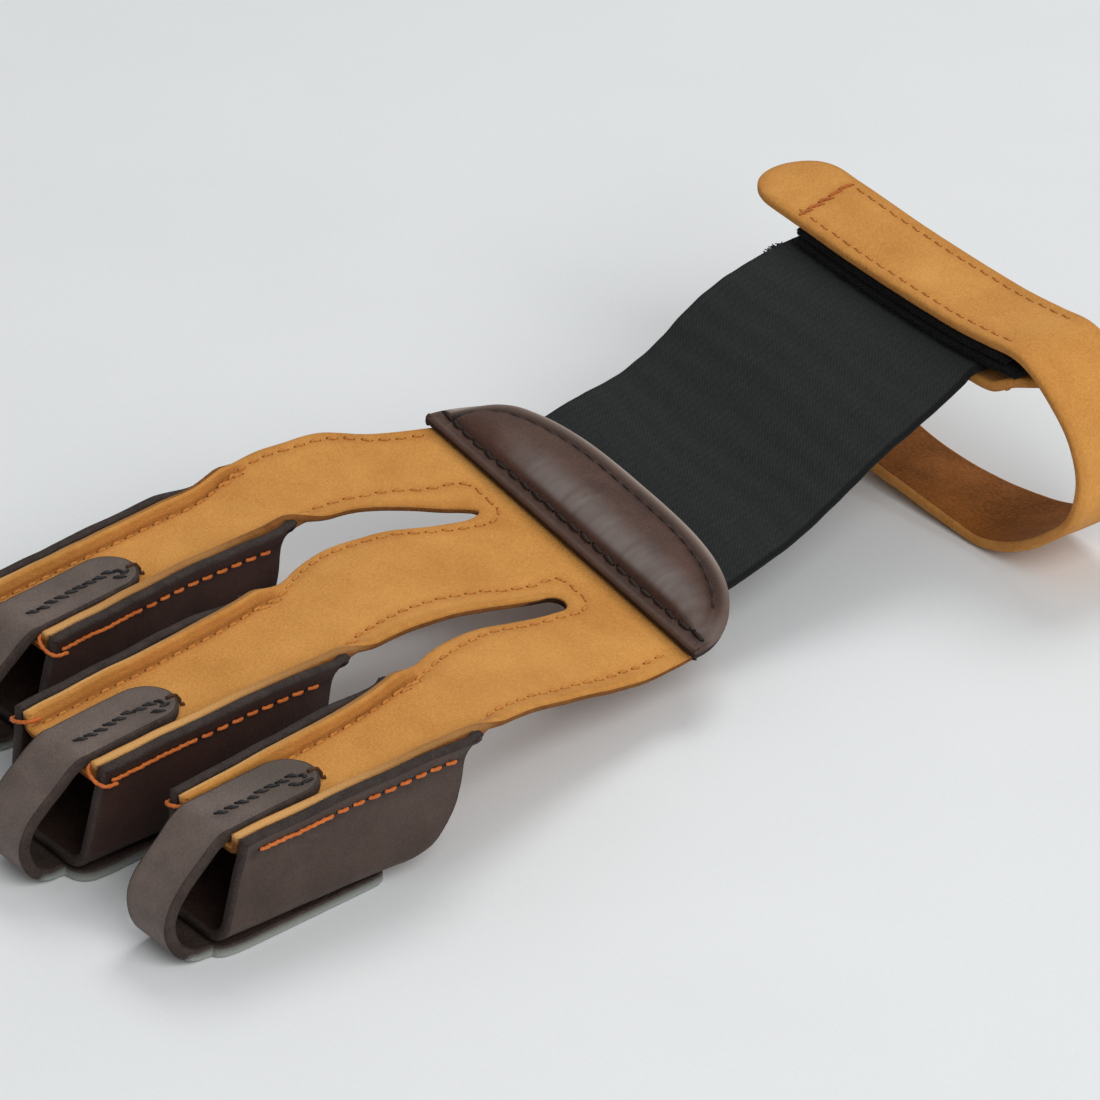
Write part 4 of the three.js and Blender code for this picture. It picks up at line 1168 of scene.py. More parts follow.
# %% Fingertip strap shape
TIP_WIDTH, TIP_MIDDLE_Z, TIP_COLUMNS = 10.8, TIP_THICK / 2, 13
PAD_OVER_TONGUE, PAD_REAR_SETBACK, PAD_FRONT_RAKE, SHOULDER_ROUND = 0.6, 15.8, 3.4, 3.0
TIP_WRAP = ((0.0, 1.0), (2.8, 1.3), (5.4, 2.9), (6.9, 5.6), (7.2, 8.4), (6.4, 11.0), (4.3, 13.6),
            (1.5, 16.3), (-1.2, 18.8), (-3.0, 19.85))
TIP_ON_TONGUE = PANEL_THICK / 2 + GAP + TIP_THICK / 2
TIP_STEP, PAD_ROWS, SHOULDER_COLUMNS, TOP_ROWS, END_ANGLES = 0.7, 44, 8, 20, (8, 84, 11)


def across(middle, half, y, z, count=TIP_COLUMNS):
    x = middle + half * np.linspace(-1, 1, count)
    return np.stack([x, np.full_like(x, y), np.full_like(x, z)], -1)


def tip_wrap_line(finger):
    """The strap's middle line from the pad's front, round the fingertip, to the tongue."""
    pad_front, top_start = finger["front"] - PAD_FRONT_RAKE, finger["front"] + 1
    line = [(0, pad_front - out, z) for out, z in TIP_WRAP]
    line.append((0, top_start, float(tongue_z(finger, top_start)) + TIP_ON_TONGUE))
    return resample(curve_through(line), TIP_STEP)


def tip_top(finger, y):
    """Middle of the strap where it lies on the tongue."""
    return (float(tongue_middle(finger, y)) + finger["drift"], y,
            float(tongue_z(finger, y)) + TIP_ON_TONGUE)


def tip_grids(finger):
    pad_front, pad_rear = finger["front"] - PAD_FRONT_RAKE, finger["rear"] - PAD_REAR_SETBACK
    far_x, near_x = (edge_x(name, finger["front"]) for name in finger["edges"])
    pad_half = (near_x - far_x + PAD_OVER_TONGUE) / 2
    narrow, shoulders = [], ([], [])
    rounded = 1 - np.sqrt(1 - np.linspace(0, 0.999, SHOULDER_COLUMNS) ** 2)
    for share in np.linspace(0, 1, PAD_ROWS):
        y = lerp(pad_rear, pad_front, share)
        middle = float(tongue_middle(finger, max(y, finger["front"])))
        narrow.append(across(middle, TIP_WIDTH / 2, y, TIP_MIDDLE_Z))
        ends = lerp(-SHOULDER_ROUND, SHOULDER_ROUND, share) * rounded
        for sign, grid in zip((-1, 1), shoulders):
            x = middle + sign * np.linspace(TIP_WIDTH / 2, pad_half, len(rounded))
            row = np.stack([x, y + ends, np.full_like(x, TIP_MIDDLE_Z)], -1)
            grid.append(row[::sign])
    line = tip_wrap_line(finger)[1:]
    for i, (_, y, z) in enumerate(line, 1):
        middle = float(tongue_middle(finger, finger["front"])) + finger["drift"] * i / len(line)
        narrow.append(across(middle, TIP_WIDTH / 2, y, z))
    round_start = finger["tip_end"] - TIP_WIDTH / 2
    for y in np.linspace(finger["front"] + 1, round_start, TOP_ROWS)[1:]:
        middle, _, z = tip_top(finger, y)
        narrow.append(across(middle, TIP_WIDTH / 2, y, z))
    for angle in np.radians(np.linspace(*END_ANGLES)):
        y = round_start + TIP_WIDTH / 2 * math.sin(angle)
        z = tip_top(finger, y)[2]
        narrow.append(across(tip_top(finger, round_start)[0], TIP_WIDTH / 2 * math.cos(angle), y, z))
    return [np.array(grid) for grid in (narrow, *shoulders)]


print("round the fingertip, mm:",
      [round(float(along_path(tip_wrap_line(finger))[-1]), 1) for finger in FINGERS])

# %% Fingertip straps
TIP_DENTS, TIP_FINE = ((7.0, 0.45, 8), (3.0, 0.12, 9)), ((1.8, 0.03, 10),)
OFF_TABLE, ONTO_TONGUE, TONGUE_KEEPS = (2.5, 7.0), (18.0, 20.0), 0.2
HANDLED_ABOVE, HANDLED_FROM_FRONT = (18.5, 20.0), (3, 14)
PALE_FOOT = (0.9, 1.9)


def tip_relief(points):
    """Bends of a strap that is flexed at every shot; flat where it lies on the table."""
    free = smooth_between(points[:, 2], *OFF_TABLE)
    on_tongue = smooth_between(points[:, 2], *ONTO_TONGUE)
    soft = dents(points, TIP_DENTS) * free * lerp(1.0, TONGUE_KEEPS, on_tongue)
    return soft + dents(points, TIP_FINE) * free


def handled_top(finger):
    """The strap's end on the tongue, darkened by the hand."""
    def mark(points):
        on_top = smooth_between(points[:, 2], *HANDLED_ABOVE)
        from_front = points[:, 1] - finger["front"]
        return finger["handled"] * on_top * smooth_between(from_front, *HANDLED_FROM_FRONT)
    return mark


def pale_foot(points):
    """The raw lower rim of the pad, pale where it meets the table."""
    return 1 - smooth_between(points[:, 2], *PALE_FOOT)


def tip_seam(finger):
    """The sewing that holds the strap's end: up the middle, round near its end and back a little."""
    end, start = finger["tip_end"], finger["front"] + 1.5
    steps = [(0.6, start), (0.9, lerp(start, end, 0.35)), (0.5, lerp(start, end, 0.7)),
             (0.9, end - 3.4), (2.0, end - 2.3), (2.9, end - 3.6), (2.7, end - 6.5)]
    line = []
    for aside, y in steps:
        middle, _, z = tip_top(finger, y)
        line.append((middle + aside, y, z + 1.0))
    return curve_through(line)


TIP = [TIP_FACE, TIP_FLESH, TIP_CUT]
tip_surfaces = {}
for finger in FINGERS:
    tip = sheet_of(f"tip_leather_{finger['name']}", tip_grids(finger), TIP_THICK, TIP,
                   tip_relief, [tip_seam(finger)], dip=0.3, rounding=0.5,
                   marks={"mark": pale_foot, "trim": handled_top(finger)})
    stand_for(tip, f"tip_strap_{finger['name']}")
    tip_surfaces[finger["name"]] = leather_surface(tip)

# %% [markdown]
# ## The wrist patch
# A half-moon of smooth brown leather holds the elastic's end on the panel. On the real glove it is
# pulled tight by its seams: a raised lip runs round the curved edge, the seam sinks in, and the
# middle puffs up over the elastic. Cloth simulation is the usual way to puff a form, and it was not
# tried here: the photograph shows how lip, seam and dome stand, and a formula of the distance to the
# edge states just that. So the grid is fine and the relief is worked out point by point.

# %% Patch shape
PATCH_TRIM, PATCH_CROWN = 0.012, 0.7
PATCH_ON_PANEL = PANEL_THICK / 2 + GAP + PATCH_THICK / 2
ELASTIC_WIDTH = 50.0
PATCH_RIM_SEAM, PATCH_FRONT_SEAM = 3.1, 2.7
RIM_TRIM, FRONT_TRIM, EDGE_FINE = 6, 12, 400
PATCH_OVER_ELASTIC = {"beside": 10, "full_at": -8.8, "spare": 0.15}


def elastic_middle(y):
    return 19.4 - 0.08 * (y - 3)


def patch_point(turn, share):
    u = -np.cos(math.pi * lerp(PATCH_TRIM, 1 - PATCH_TRIM, turn))
    span = PATCH["depth"] * np.sqrt(1 - np.abs(u) ** PATCH["power"])
    x, y = PATCH["middle"] + PATCH["half_width"] * u, PATCH["front"] + span * share
    beside = np.abs(x - elastic_middle(y)) - ELASTIC_WIDTH / 2
    over = PATCH_OVER_ELASTIC
    rise = (1 - smooth_between(beside, 0, over["beside"])) * smooth_between(
        y, PATCH["front"], over["full_at"])
    inside = np.sin(math.pi * share) * (1 - u**4)
    z = palm_z(x) + PATCH_ON_PANEL
    z = z + (ELASTIC_THICK + GAP + over["spare"]) * rise + PATCH_CROWN * inside
    return np.stack([x, y, z], -1)


def patch_line(side, inset, count=160):
    """A line at a distance inside the curved edge or the straight one."""
    turn, share = np.linspace(0, 1, count), 1.0 if side == "rim" else 0.0
    edge = patch_point(turn, np.full(count, share))
    if side == "rim":
        along = np.gradient(edge[:, :2], axis=0)
        inward = np.stack([along[:, 1], -along[:, 0]], -1)
        inward /= np.linalg.norm(inward, axis=1, keepdims=True)
        edge[:, :2] += inset * inward
    else:
        edge[:, 1] += inset
    return edge


def patch_seams():
    rim = patch_line("rim", PATCH_RIM_SEAM)[RIM_TRIM:-RIM_TRIM]
    front = patch_line("front", PATCH_FRONT_SEAM)[FRONT_TRIM:-FRONT_TRIM]
    return rim, front


print("patch seams, mm:", [round(float(along_path(line)[-1])) for line in patch_seams()])

# %% Patch relief
PATCH_TIP_FLAT = (0.82, 0.97)
LIP = {"inset": 1.0, "height": 0.42}
GROOVE_WIDTH, RIM_GROOVE, FRONT_GROOVE = 0.8, 0.5, 0.35
DOME = {"from_rim": 3.0, "over_rim": 9.0, "from_front": 2.6, "over_front": 7.0}
PUCKER = {"depth": 0.1, "turns": 2.1, "inset": 4.4, "width": 1.2}
PATCH_DENTS = (11.0, 0.4, 11), (4.0, 0.08, 12)


def ridge(distance, width, power=2):
    """A soft ridge: 1 on its line, fading over its width."""
    return np.exp(-(distance / width) ** power)


def patch_relief(points):
    rim = nearest_distance(points, patch_line("rim", 0.0, EDGE_FINE))
    front = nearest_distance(points, patch_line("front", 0.0, EDGE_FINE))
    lip = LIP["height"] * ridge(rim - LIP["inset"], GROOVE_WIDTH)
    groove = RIM_GROOVE * ridge(rim - PATCH_RIM_SEAM, GROOVE_WIDTH)
    front_groove = FRONT_GROOVE * ridge(front - PATCH_FRONT_SEAM, GROOVE_WIDTH)
    inside = np.clip(np.minimum((rim - DOME["from_rim"]) / DOME["over_rim"],
                                (front - DOME["from_front"]) / DOME["over_front"]), 0, 1)
    dome = np.sqrt(inside * (2 - inside))
    pucker = PUCKER["depth"] * np.sin(points[:, 0] * PUCKER["turns"]) * ridge(
        rim - PUCKER["inset"], PUCKER["width"])
    towards_tip = np.abs(points[:, 0] - PATCH["middle"]) / PATCH["half_width"]
    flattens = 1 - smooth_between(towards_tip, *PATCH_TIP_FLAT)
    worn = dents(points, PATCH_DENTS) * inside
    return (lip - groove - front_groove + dome + pucker + worn) * flattens


print("the lip stands", LIP["height"], "mm proud and the seam lies", RIM_GROOVE, "mm deep")

# %% Patch
SHEEN_BAND = {"starts": (2.4, 3.4), "ends": (3.6, 10.0), "aside": 8, "fades": (0.4, 0.9)}
STREAK = {"width": 1.3, "length": 9.0, "least": 0.85, "varies": 0.5}
RIM_HIGHLIGHT = {"from_y": (-12.5, -9.0), "near_tip": (0.45, 0.9), "tip_keeps": 0.15,
          "inset": 0.8, "width": 1.2}


def painted_sheen(points):
    """Painted sheen: a grey highlight on the dome's front slope, in faint streaks square to
    the front seam.
    """
    front = points[:, 1] - PATCH["front"]
    across_dome = smooth_between(front, *SHEEN_BAND["starts"]) * (
        1 - smooth_between(front, *SHEEN_BAND["ends"]))
    aside = np.abs(points[:, 0] - PATCH["middle"] - SHEEN_BAND["aside"]) / PATCH["half_width"]
    streaks = [STREAK["least"] + STREAK["varies"] * noise.noise(
        Vector((x / STREAK["width"], y / STREAK["length"], 3.0))) for x, y, _ in points]
    return np.clip(across_dome * (1 - smooth_between(aside, *SHEEN_BAND["fades"])) * streaks, 0, 1)


def rim_highlight(points):
    """Painted highlight: a pale line along the lip on the outer rim of the curved edge."""
    rim = nearest_distance(points, patch_line("rim", 0.0, EDGE_FINE))
    along = (points[:, 0] - PATCH["middle"]) / PATCH["half_width"]
    near_tip = smooth_between(along, *RIM_HIGHLIGHT["near_tip"])
    highlit = smooth_between(points[:, 1], *RIM_HIGHLIGHT["from_y"]) * lerp(1, RIM_HIGHLIGHT["tip_keeps"], near_tip)
    return highlit * ridge(rim - RIM_HIGHLIGHT["inset"], RIM_HIGHLIGHT["width"], 4)


PATCH_COLUMNS, PATCH_ROWS = 130, 52
turns, shares = np.meshgrid(np.linspace(0, 1, PATCH_COLUMNS), np.linspace(0, 1, PATCH_ROWS))
# The patch's two marks are painted light: a sheen on the dome and a highlight on the rim's lip.
patch = sheet_of("wrist_patch_leather", [patch_point(turns, shares)], PATCH_THICK,
                 [PATCH_FACE, PATCH_FLESH, PATCH_CUT], patch_relief, patch_seams(),
                 marks={"mark": painted_sheen, "trim": rim_highlight}, face_over=4)
stand_for(patch, "wrist_patch")
patch_surface = leather_surface(patch)

# %% [markdown]
# ## The elastic
# The elastic is woven in one piece about as wide as two fingers and a half. It lies between the
# panel and the patch, dips behind the panel's end and climbs to the wrist strap, twisting a little,
# so that its far edge is always higher. Cloth simulation of a flat strip would need both ends
# pinned at known heights, and here the heights between them can be read off the photograph too, so
# all are given directly. Its weave is a shader, its far edge is frayed with real threads where the
# cut yarns show.

# %% Elastic
ELASTIC_ON_PANEL = PANEL_THICK / 2 + GAP + ELASTIC_THICK / 2
ELASTIC_HEIGHTS = ((8, 22.3, 13.6), (14, 22.9, 14.9), (20, 23.5, 16.8), (28, 26.1, 20.1),
                   (36, 30.3, 23.7), (44, 33.0, 26.3), (51, 34.2, 28.8))
ELASTIC_START, ELASTIC_FREE, ELASTIC_END = -8.0, (2.5, 58.0), 74.5
ELASTIC_LEVELS_OVER = 3.0
ELASTIC_SLACK = (5, 14), (46, 55)
ELASTIC_DENTS, ELASTIC_FINE = ((15.0, 0.5, 14),), ((1.6, 0.05, 15),)
RIPPLE = {"height": 0.12, "turns": 1.15, "drift": ((20.0, 3.0, 13),)}
STRAP_WIDTH, STRAP_MIDDLE_Y = 17.3, 66.8
STRAP_TOP = np.array([(-22.6, 41.4), (-18, 41.5), (-12, 40.9), (-5, 40.2), (5, 39.1), (15, 38.3),
                      (25, 37.7), (34, 37.4), (42, 37.7), (48, 38.0)])
HOOK_DROP = STRAP_THICK / 2 + GAP + TAPE_THICK / 2
LOOP_DROP = HOOK_DROP + TAPE_THICK + GAP
ELASTIC_DROP = LOOP_DROP + TAPE_THICK / 2 + GAP + ELASTIC_THICK / 2
INNER_DROP = ELASTIC_DROP + ELASTIC_THICK / 2 + GAP + STRAP_THICK / 2
INNER_END_DROP = LOOP_DROP + TAPE_THICK / 2 + GAP + STRAP_THICK / 2


def strap_top_z(x):
    return smooth_table(STRAP_TOP[:, 0], STRAP_TOP[:, 1], x)


def elastic_point(share, y):
    x = elastic_middle(y) + ELASTIC_WIDTH * (share - 0.5)
    if y <= ELASTIC_FREE[0]:
        return np.stack([x, np.full_like(x, y), palm_z(x) + ELASTIC_ON_PANEL], -1)
    heights = []
    for column, aside in ((1, -0.5), (2, 0.5)):
        ends = [elastic_middle(place) + ELASTIC_WIDTH * aside for place in ELASTIC_FREE]
        first = palm_z(ends[0]) + ELASTIC_ON_PANEL
        last = strap_top_z(ends[1]) - ELASTIC_DROP
        places = [ELASTIC_FREE[0], *(row[0] for row in ELASTIC_HEIGHTS), ELASTIC_FREE[1]]
        values = [first, *(row[column] for row in ELASTIC_HEIGHTS), last]
        heights.append(smooth_table(places, values, y))
    free = lerp(heights[0], heights[1], share)
    level = smooth_between(y, ELASTIC_FREE[1] - ELASTIC_LEVELS_OVER, ELASTIC_FREE[1])
    return np.stack([x, np.full_like(x, y), lerp(free, strap_top_z(x) - ELASTIC_DROP, level)], -1)


def elastic_relief(points):
    """Slow waves and faint cross ripples where the elastic is free."""
    y, (rises, falls) = points[:, 1], ELASTIC_SLACK
    free = smooth_between(y, *rises) * (1 - smooth_between(y, *falls))
    ripple = RIPPLE["height"] * np.sin(y * RIPPLE["turns"] + dents(points, RIPPLE["drift"]))
    return (dents(points, ELASTIC_DENTS) + ripple) * free + dents(points, ELASTIC_FINE)


ELASTIC_ROWS, ELASTIC_COLUMNS = 120, 64
elastic_rows = np.linspace(ELASTIC_START, ELASTIC_END, ELASTIC_ROWS)
elastic_shares = np.linspace(0, 1, ELASTIC_COLUMNS)
elastic_grid = np.array([elastic_point(elastic_shares, y) for y in elastic_rows])
elastic_run = along_path(elastic_grid[:, ELASTIC_COLUMNS // 2])


def elastic_flat(points):
    width_way = points[:, 0] - elastic_middle(points[:, 1])
    length_way = np.interp(points[:, 1], elastic_rows, elastic_run)
    return np.stack([width_way, length_way, 0 * width_way], -1)


elastic = sheet_of("elastic_band", [elastic_grid], ELASTIC_THICK,
                   [ELASTIC, ELASTIC, ELASTIC_CUT], elastic_relief,
                   marks={"flat": elastic_flat})
stand_for(elastic, "elastic_strap")
print("elastic run:", round(elastic_run[-1], 1), "mm")

# %% [markdown]
# ## The wrist strap and its tapes
# The strap is one long tan strap with round ends. It starts with its free end on top, turns down
# at the near side, runs along the table, comes up the far side and passes back under itself. Hook
# tape is sewn under the outer ply and loop tape on the inner ply, and the elastic's end is caught
# between. The strap follows one smooth line through a table of heights. Each row across it is flat,
# because leather this thick does not bend both ways at once, but the rows lean: the loop sags a
# little toward the fingers and its low run is twisted.

# %% Strap shape
NEAR_TURN = ((52.2, 36.8), (57.6, 33.2), (62.6, 28.0), (65.2, 21.0), (64.0, 14.0), (58.8, 8.6),
             (52.4, 5.0))
TABLE_RUN = ((44.5, 2.3), (36.0, 1.75), (27.0, 1.8), (18.0, 2.4), (9.0, 3.7))
FAR_TURN = ((1.0, 5.6), (-6.0, 8.6), (-11.0, 12.6), (-13.3, 17.6), (-12.6, 23.0), (-9.8, 27.8),
            (-5.8, 30.6))
STRAP_SAG = {"reach": 2.0, "below": 24.0, "fully": 3.0}
STRAP_TWIST = np.array([(-5, 0), (5, -1.0), (14, -1.5), (22, -1.2), (27, -0.9), (33, -0.4),
                        (38, 0.2), (43, 0.8), (50, 0.8), (58, 0.3), (64, 0)])
TWIST_FADES = (6.0, 14.0)
INNER_RUN = np.linspace(0, 43.0, 8)
INNER_ENDS = (47.4, 51.5)
STRAP_STEP, STRAP_ACROSS, STRAP_SEAM = 1.1, 21, 2.2
ROUND_END_ANGLES, EVEN_ACROSS = (4, 86, 20), 0.45


def strap_line():
    """Points of the strap's middle line in the plane across the wrist, as x and z."""
    path = [*map(tuple, STRAP_TOP), *NEAR_TURN, *TABLE_RUN, *FAR_TURN]
    path += [(x, strap_top_z(x) - INNER_DROP) for x in INNER_RUN]
    path += [(x, strap_top_z(x) - INNER_END_DROP) for x in INNER_ENDS]
    line = curve_through([(x, 0, z) for x, z in path], 40)
    line[:, 2] = np.maximum(line[:, 2], STRAP_THICK / 2)
    return line


STRAP_LINE = strap_line()
STRAP_RUN = along_path(STRAP_LINE)


def strap_at(distance, aside):
    """A point of the strap at a distance from its free end and aside from its middle.

    The loop sags a little toward the fingers, and its low run is twisted.
    """
    x, z = (np.interp(distance, STRAP_RUN, STRAP_LINE[:, k]) for k in (0, 2))
    sag = STRAP_SAG["reach"] * (1 - smooth_between(z, STRAP_SAG["fully"], STRAP_SAG["below"]))
    lift = smooth_table(STRAP_TWIST[:, 0], STRAP_TWIST[:, 1], x)
    lift = lift * (1 - smooth_between(z, *TWIST_FADES)) * aside / (STRAP_WIDTH / 2)
    return np.stack([x, STRAP_MIDDLE_Y - sag + aside, np.maximum(z + lift, STRAP_THICK / 2)], -1)


def strap_half_width(distance):
    r = STRAP_WIDTH / 2
    from_end = np.minimum(distance, STRAP_RUN[-1] - distance)
    return np.sqrt(np.maximum(r * r - np.maximum(r - from_end, 0) ** 2, 0))


def strap_grid():
    r, length = STRAP_WIDTH / 2, STRAP_RUN[-1]
    round_end = r * (1 - np.cos(np.radians(np.linspace(*ROUND_END_ANGLES))))
    count = int((length - 2 * r) / STRAP_STEP)
    places = [*round_end, *np.linspace(r, length - r, count), *(length - round_end[::-1])]
    across_strap = np.sin(np.linspace(math.pi / 2, -math.pi / 2, STRAP_ACROSS))
    across_strap = lerp(across_strap, np.linspace(1, -1, STRAP_ACROSS), EVEN_ACROSS)
    return np.array([strap_at(np.full(STRAP_ACROSS, d), strap_half_width(d) * across_strap)
                     for d in places])


print("strap length:", round(STRAP_RUN[-1], 1), "mm")

# %% Strap
OUTER_SEAM, INNER_SEAM_FROM_END = (14.3, 70.0), (57.0, 5.0)
CROSS_SEAM = {"inset": 1.1, "skew": 0.24, "before": 0.6}


def outer_seams(out=0.0):
    """Two long rows and the row across, on the outer ply."""
    aside = STRAP_WIDTH / 2 - STRAP_SEAM
    places = np.arange(*OUTER_SEAM, SEAM_SAMPLE)
    rows = [strap_at(places, np.full_like(places, sign * aside)) for sign in (1, -1)]
    cross = np.linspace(-1, 1, 24) * (STRAP_WIDTH / 2 - CROSS_SEAM["inset"])
    start = OUTER_SEAM[0] - CROSS_SEAM["before"]
    rows.append(strap_at(start - CROSS_SEAM["skew"] * cross, cross))
    return [row + np.array([0, 0, out]) for row in rows]


def inner_seams(out=0.0):
    """The rows that hold the loop tape, seen on the underside of the inner ply."""
    aside, length = STRAP_WIDTH / 2 - STRAP_SEAM, STRAP_RUN[-1]
    places = np.arange(*(length - np.array(INNER_SEAM_FROM_END)), SEAM_SAMPLE)
    return [strap_at(places, np.full_like(places, sign * aside)) - np.array([0, 0, out])
            for sign in (1, -1)]


STRAP_DENTS, STRAP_FINE = ((12.0, 0.6, 16), (5.0, 0.14, 17)), ((2.2, 0.04, 18),)
LOOP_BELOW, LOOP_OFF_TABLE = (28, 34), (1.2, 4)
FREE_END = {"beyond": (-16, -9), "above": 36, "keeps": 0.6}


def strap_relief(points):
    """The free loop is worn soft; between the plies the strap stays flat."""
    x, z = points[:, 0], points[:, 2]
    in_loop = (1 - smooth_between(z, *LOOP_BELOW)) * smooth_between(z, *LOOP_OFF_TABLE)
    free_end = (1 - smooth_between(x, *FREE_END["beyond"])) * (z > FREE_END["above"])
    soft = dents(points, STRAP_DENTS) * np.maximum(in_loop, FREE_END["keeps"] * free_end)
    return soft + dents(points, STRAP_FINE)


strap = sheet_of("wrist_strap_leather", [strap_grid()], STRAP_THICK,
                 [TAN_FACE, STRAP_FLESH, STRAP_CUT], strap_relief,
                 outer_seams() + inner_seams(), dip=0.24, face_over=4)
stand_for(strap, "wrist_strap")
strap_surface = leather_surface(strap)

# %% Hook and loop tapes
TAPE_WIDTH, TAPE_ROWS, TAPE_COLUMNS, TAPE_NAP = 16.4, 80, 22, ((1.1, 0.16, 19),)
HAIRS, HAIR_RADIUS, HAIR_TAPERS = 1500, 0.07, (1.0, 0.8, 0.35)
TAPES = ({"name": "hook", "span": (-7.0, 46.0), "drop": HOOK_DROP, "fuzz": 0.55},
         {"name": "loop", "span": (-7.5, 48.5), "drop": LOOP_DROP, "fuzz": 0.8})


def tape_grid(span, drop):
    x = np.linspace(*span, TAPE_ROWS)
    aside = np.linspace(0.5, -0.5, TAPE_COLUMNS) * TAPE_WIDTH
    return np.array([[(px, STRAP_MIDDLE_Y + a, float(strap_top_z(px)) - drop) for a in aside]
                     for px in x])


def tape_flat(points):
    return np.stack([points[:, 1], points[:, 0], 0 * points[:, 0]], -1)


def fuzz_hairs(span, drop, length, count, seed):
    """Short curled hairs that stand out of a tape's two long edges."""
    hand, points, faces = random.Random(seed), [], []
    for _ in range(count):
        x, side = hand.uniform(*span), hand.choice((-1, 1))
        z = float(strap_top_z(x)) - drop + hand.uniform(-0.6, 0.6) * TAPE_THICK / 2
        start = np.array([x, STRAP_MIDDLE_Y + side * (TAPE_WIDTH / 2 - 0.2), z])
        curl = np.array([hand.uniform(-0.5, 0.5), side, hand.uniform(-0.35, 0.35)]) * length
        line = np.array([start, start + 0.5 * curl, start + curl + [curl[0], 0, 0.2 * curl[2]]])
        ring = HAIR_RADIUS * np.array([(1, 0, 0), (-0.5, 0, 0.87), (-0.5, 0, -0.87)])
        base = len(points) * 9
        points.append(np.concatenate([p + ring * s for p, s in zip(line, HAIR_TAPERS)]))
        for a in (base, base + 3):
            faces += [[a + i, a + (i + 1) % 3, a + 3 + (i + 1) % 3, a + 3 + i] for i in range(3)]
        faces += [[base + 2, base + 1, base], [base + 6, base + 7, base + 8]]
    return np.concatenate(points), faces


for number, tape in enumerate(TAPES):
    made = sheet_of(f"{tape['name']}_tape_weave", [tape_grid(tape["span"], tape["drop"])],
                    TAPE_THICK, [TAPE, TAPE, TAPE], lambda points: dents(points, TAPE_NAP),
                    marks={"flat": tape_flat})
    stand_for(made, f"{tape['name']}_tape")
    hairs, hair_faces = fuzz_hairs(tape["span"], tape["drop"], tape["fuzz"], HAIRS, 31 + number)
    fuzz = add_object(f"{tape['name']}_tape_fuzz", hairs, hair_faces, [TAPE], masks={
        "flat": tape_flat(hairs)})
    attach(fuzz, "root")

# %% [markdown]
# ## Sewing
# Now the seams are laid on the finished leather. The tan panel and the strap are sewn with a honey
# coloured thread, rust where the strap is sewn across, and bright orange on the dark stalls. The
# fingertip straps are sewn by hand in black, a little unevenly, with an end of brown thread left
# over. The patch is sewn in a thread of nearly its own colour. Seams of one kind are one object, so
# that they can be hidden or given another colour in one click.

# %% Seams in the tan leather
BACK_TACK = {"reach": 6.0, "aside": (0.3, 0.55), "sway": 0.25, "from_rear": 2}

panel_sewing = Sewing("panel_stitches", THREAD_HONEY, HOLE_SHADE_TAN, 0.26, stitch=1.45, seed=11)
for line in panel_seams(out=1.0):
    panel_sewing.row(panel_surface, line)
for finger in FINGERS:
    for side in (0, 1):
        seam = np.array(edge_seam(finger, side, finger["rear"] + BACK_TACK["reach"], 1.0))
        tack = seam[seam[:, 1] > finger["rear"] - BACK_TACK["from_rear"]]
        for aside in BACK_TACK["aside"]:
            beside = tack + np.array([aside, 0, 0])
            panel_sewing.row(panel_surface, beside, sway=BACK_TACK["sway"], start=aside)
panel_sewing.finish()

# %% Seams in the stalls
PLAIN_START, PLAIN_START_AT, SEWN_TWICE = ("near", 1), 1.6, 24
LOOP_ROUTE = (
    {"on": "fin", "out": -0.9, "back": 2.0, "up": -1.4},
    {"on": "fin", "out": -1.1, "back": 0.2, "up": -1.2},
    {"on": "fin", "out": 0.0, "back": -0.75, "up": -1.5},
    {"on": "wall", "out": 0.0, "back": -0.95, "up": -2.1},
    {"on": "wall", "out": 1.3, "back": -0.1, "up": -2.6},
    {"on": "wall", "out": 1.15, "back": 2.2, "up": -2.9},
)


def front_loop(finger, side):
    """Points of the thread that loops round the front ends of the fin and the stall's wall."""
    name, sign = finger["edges"][side], 2 * side - 1
    front, top = finger["front"], TONGUE_FRONT_Z + FIN_HEIGHT
    places = {"fin": float(edge_x(name, front)), "wall": float(wall_x(name, sign, front))}
    return [(places[row["on"]] + sign * row["out"], front + row["back"], top + row["up"])
            for row in LOOP_ROUTE]


stall_sewing = Sewing("stall_stitches", THREAD_ORANGE, HOLE_SHADE_DARK, 0.31, stitch=2.1, seed=12)
for finger in FINGERS:
    surface = stall_surfaces[finger["name"]]
    for side in (0, 1):
        looped, seam = (finger["name"], side) != PLAIN_START, stall_seam(finger, side, 1.2)
        start = 0.0 if looped else PLAIN_START_AT
        stall_sewing.row(surface, seam, start=start)
        stall_sewing.row(surface, seam[:SEWN_TWICE], start=start + stall_sewing.pitch / 2)
        if looped:
            stall_sewing.loop(front_loop(finger, side))
stall_sewing.finish()

# %% Seams in the fingertip straps
TAIL_ROUTE = (
    {"aside": 1.4, "back": -1.9, "on": "strap", "up": 1.0},
    {"aside": 1.5, "back": -0.6, "on": "strap", "up": 1.1},
    {"aside": 1.5, "back": 0.3, "on": "strap", "up": 0.2},
    {"aside": 1.6, "back": 0.7, "on": "tongue", "up": 0.3},
    {"aside": 1.7, "back": 1.2, "on": "tongue", "up": 0.3},
)

tip_sewing = Sewing("tip_stitches", THREAD_BLACK, HOLE_SHADE_DARK, 0.3, pitch=1.95, stitch=1.7, seed=13)
for finger in FINGERS:
    tip_sewing.row(tip_surfaces[finger["name"]], tip_seam(finger), sway=0.5)
tip_sewing.finish()

tails = Sewing("thread_tails", THREAD_BROWN, HOLE_SHADE_DARK, 0.3, seed=14)
for finger in FINGERS:
    x, y, z = tip_top(finger, finger["tip_end"])
    heights = {"strap": z, "tongue": z - TIP_THICK / 2 - GAP}
    tails.loop([(x + row["aside"], y + row["back"], heights[row["on"]] + row["up"])
                for row in TAIL_ROUTE])
tails.finish()

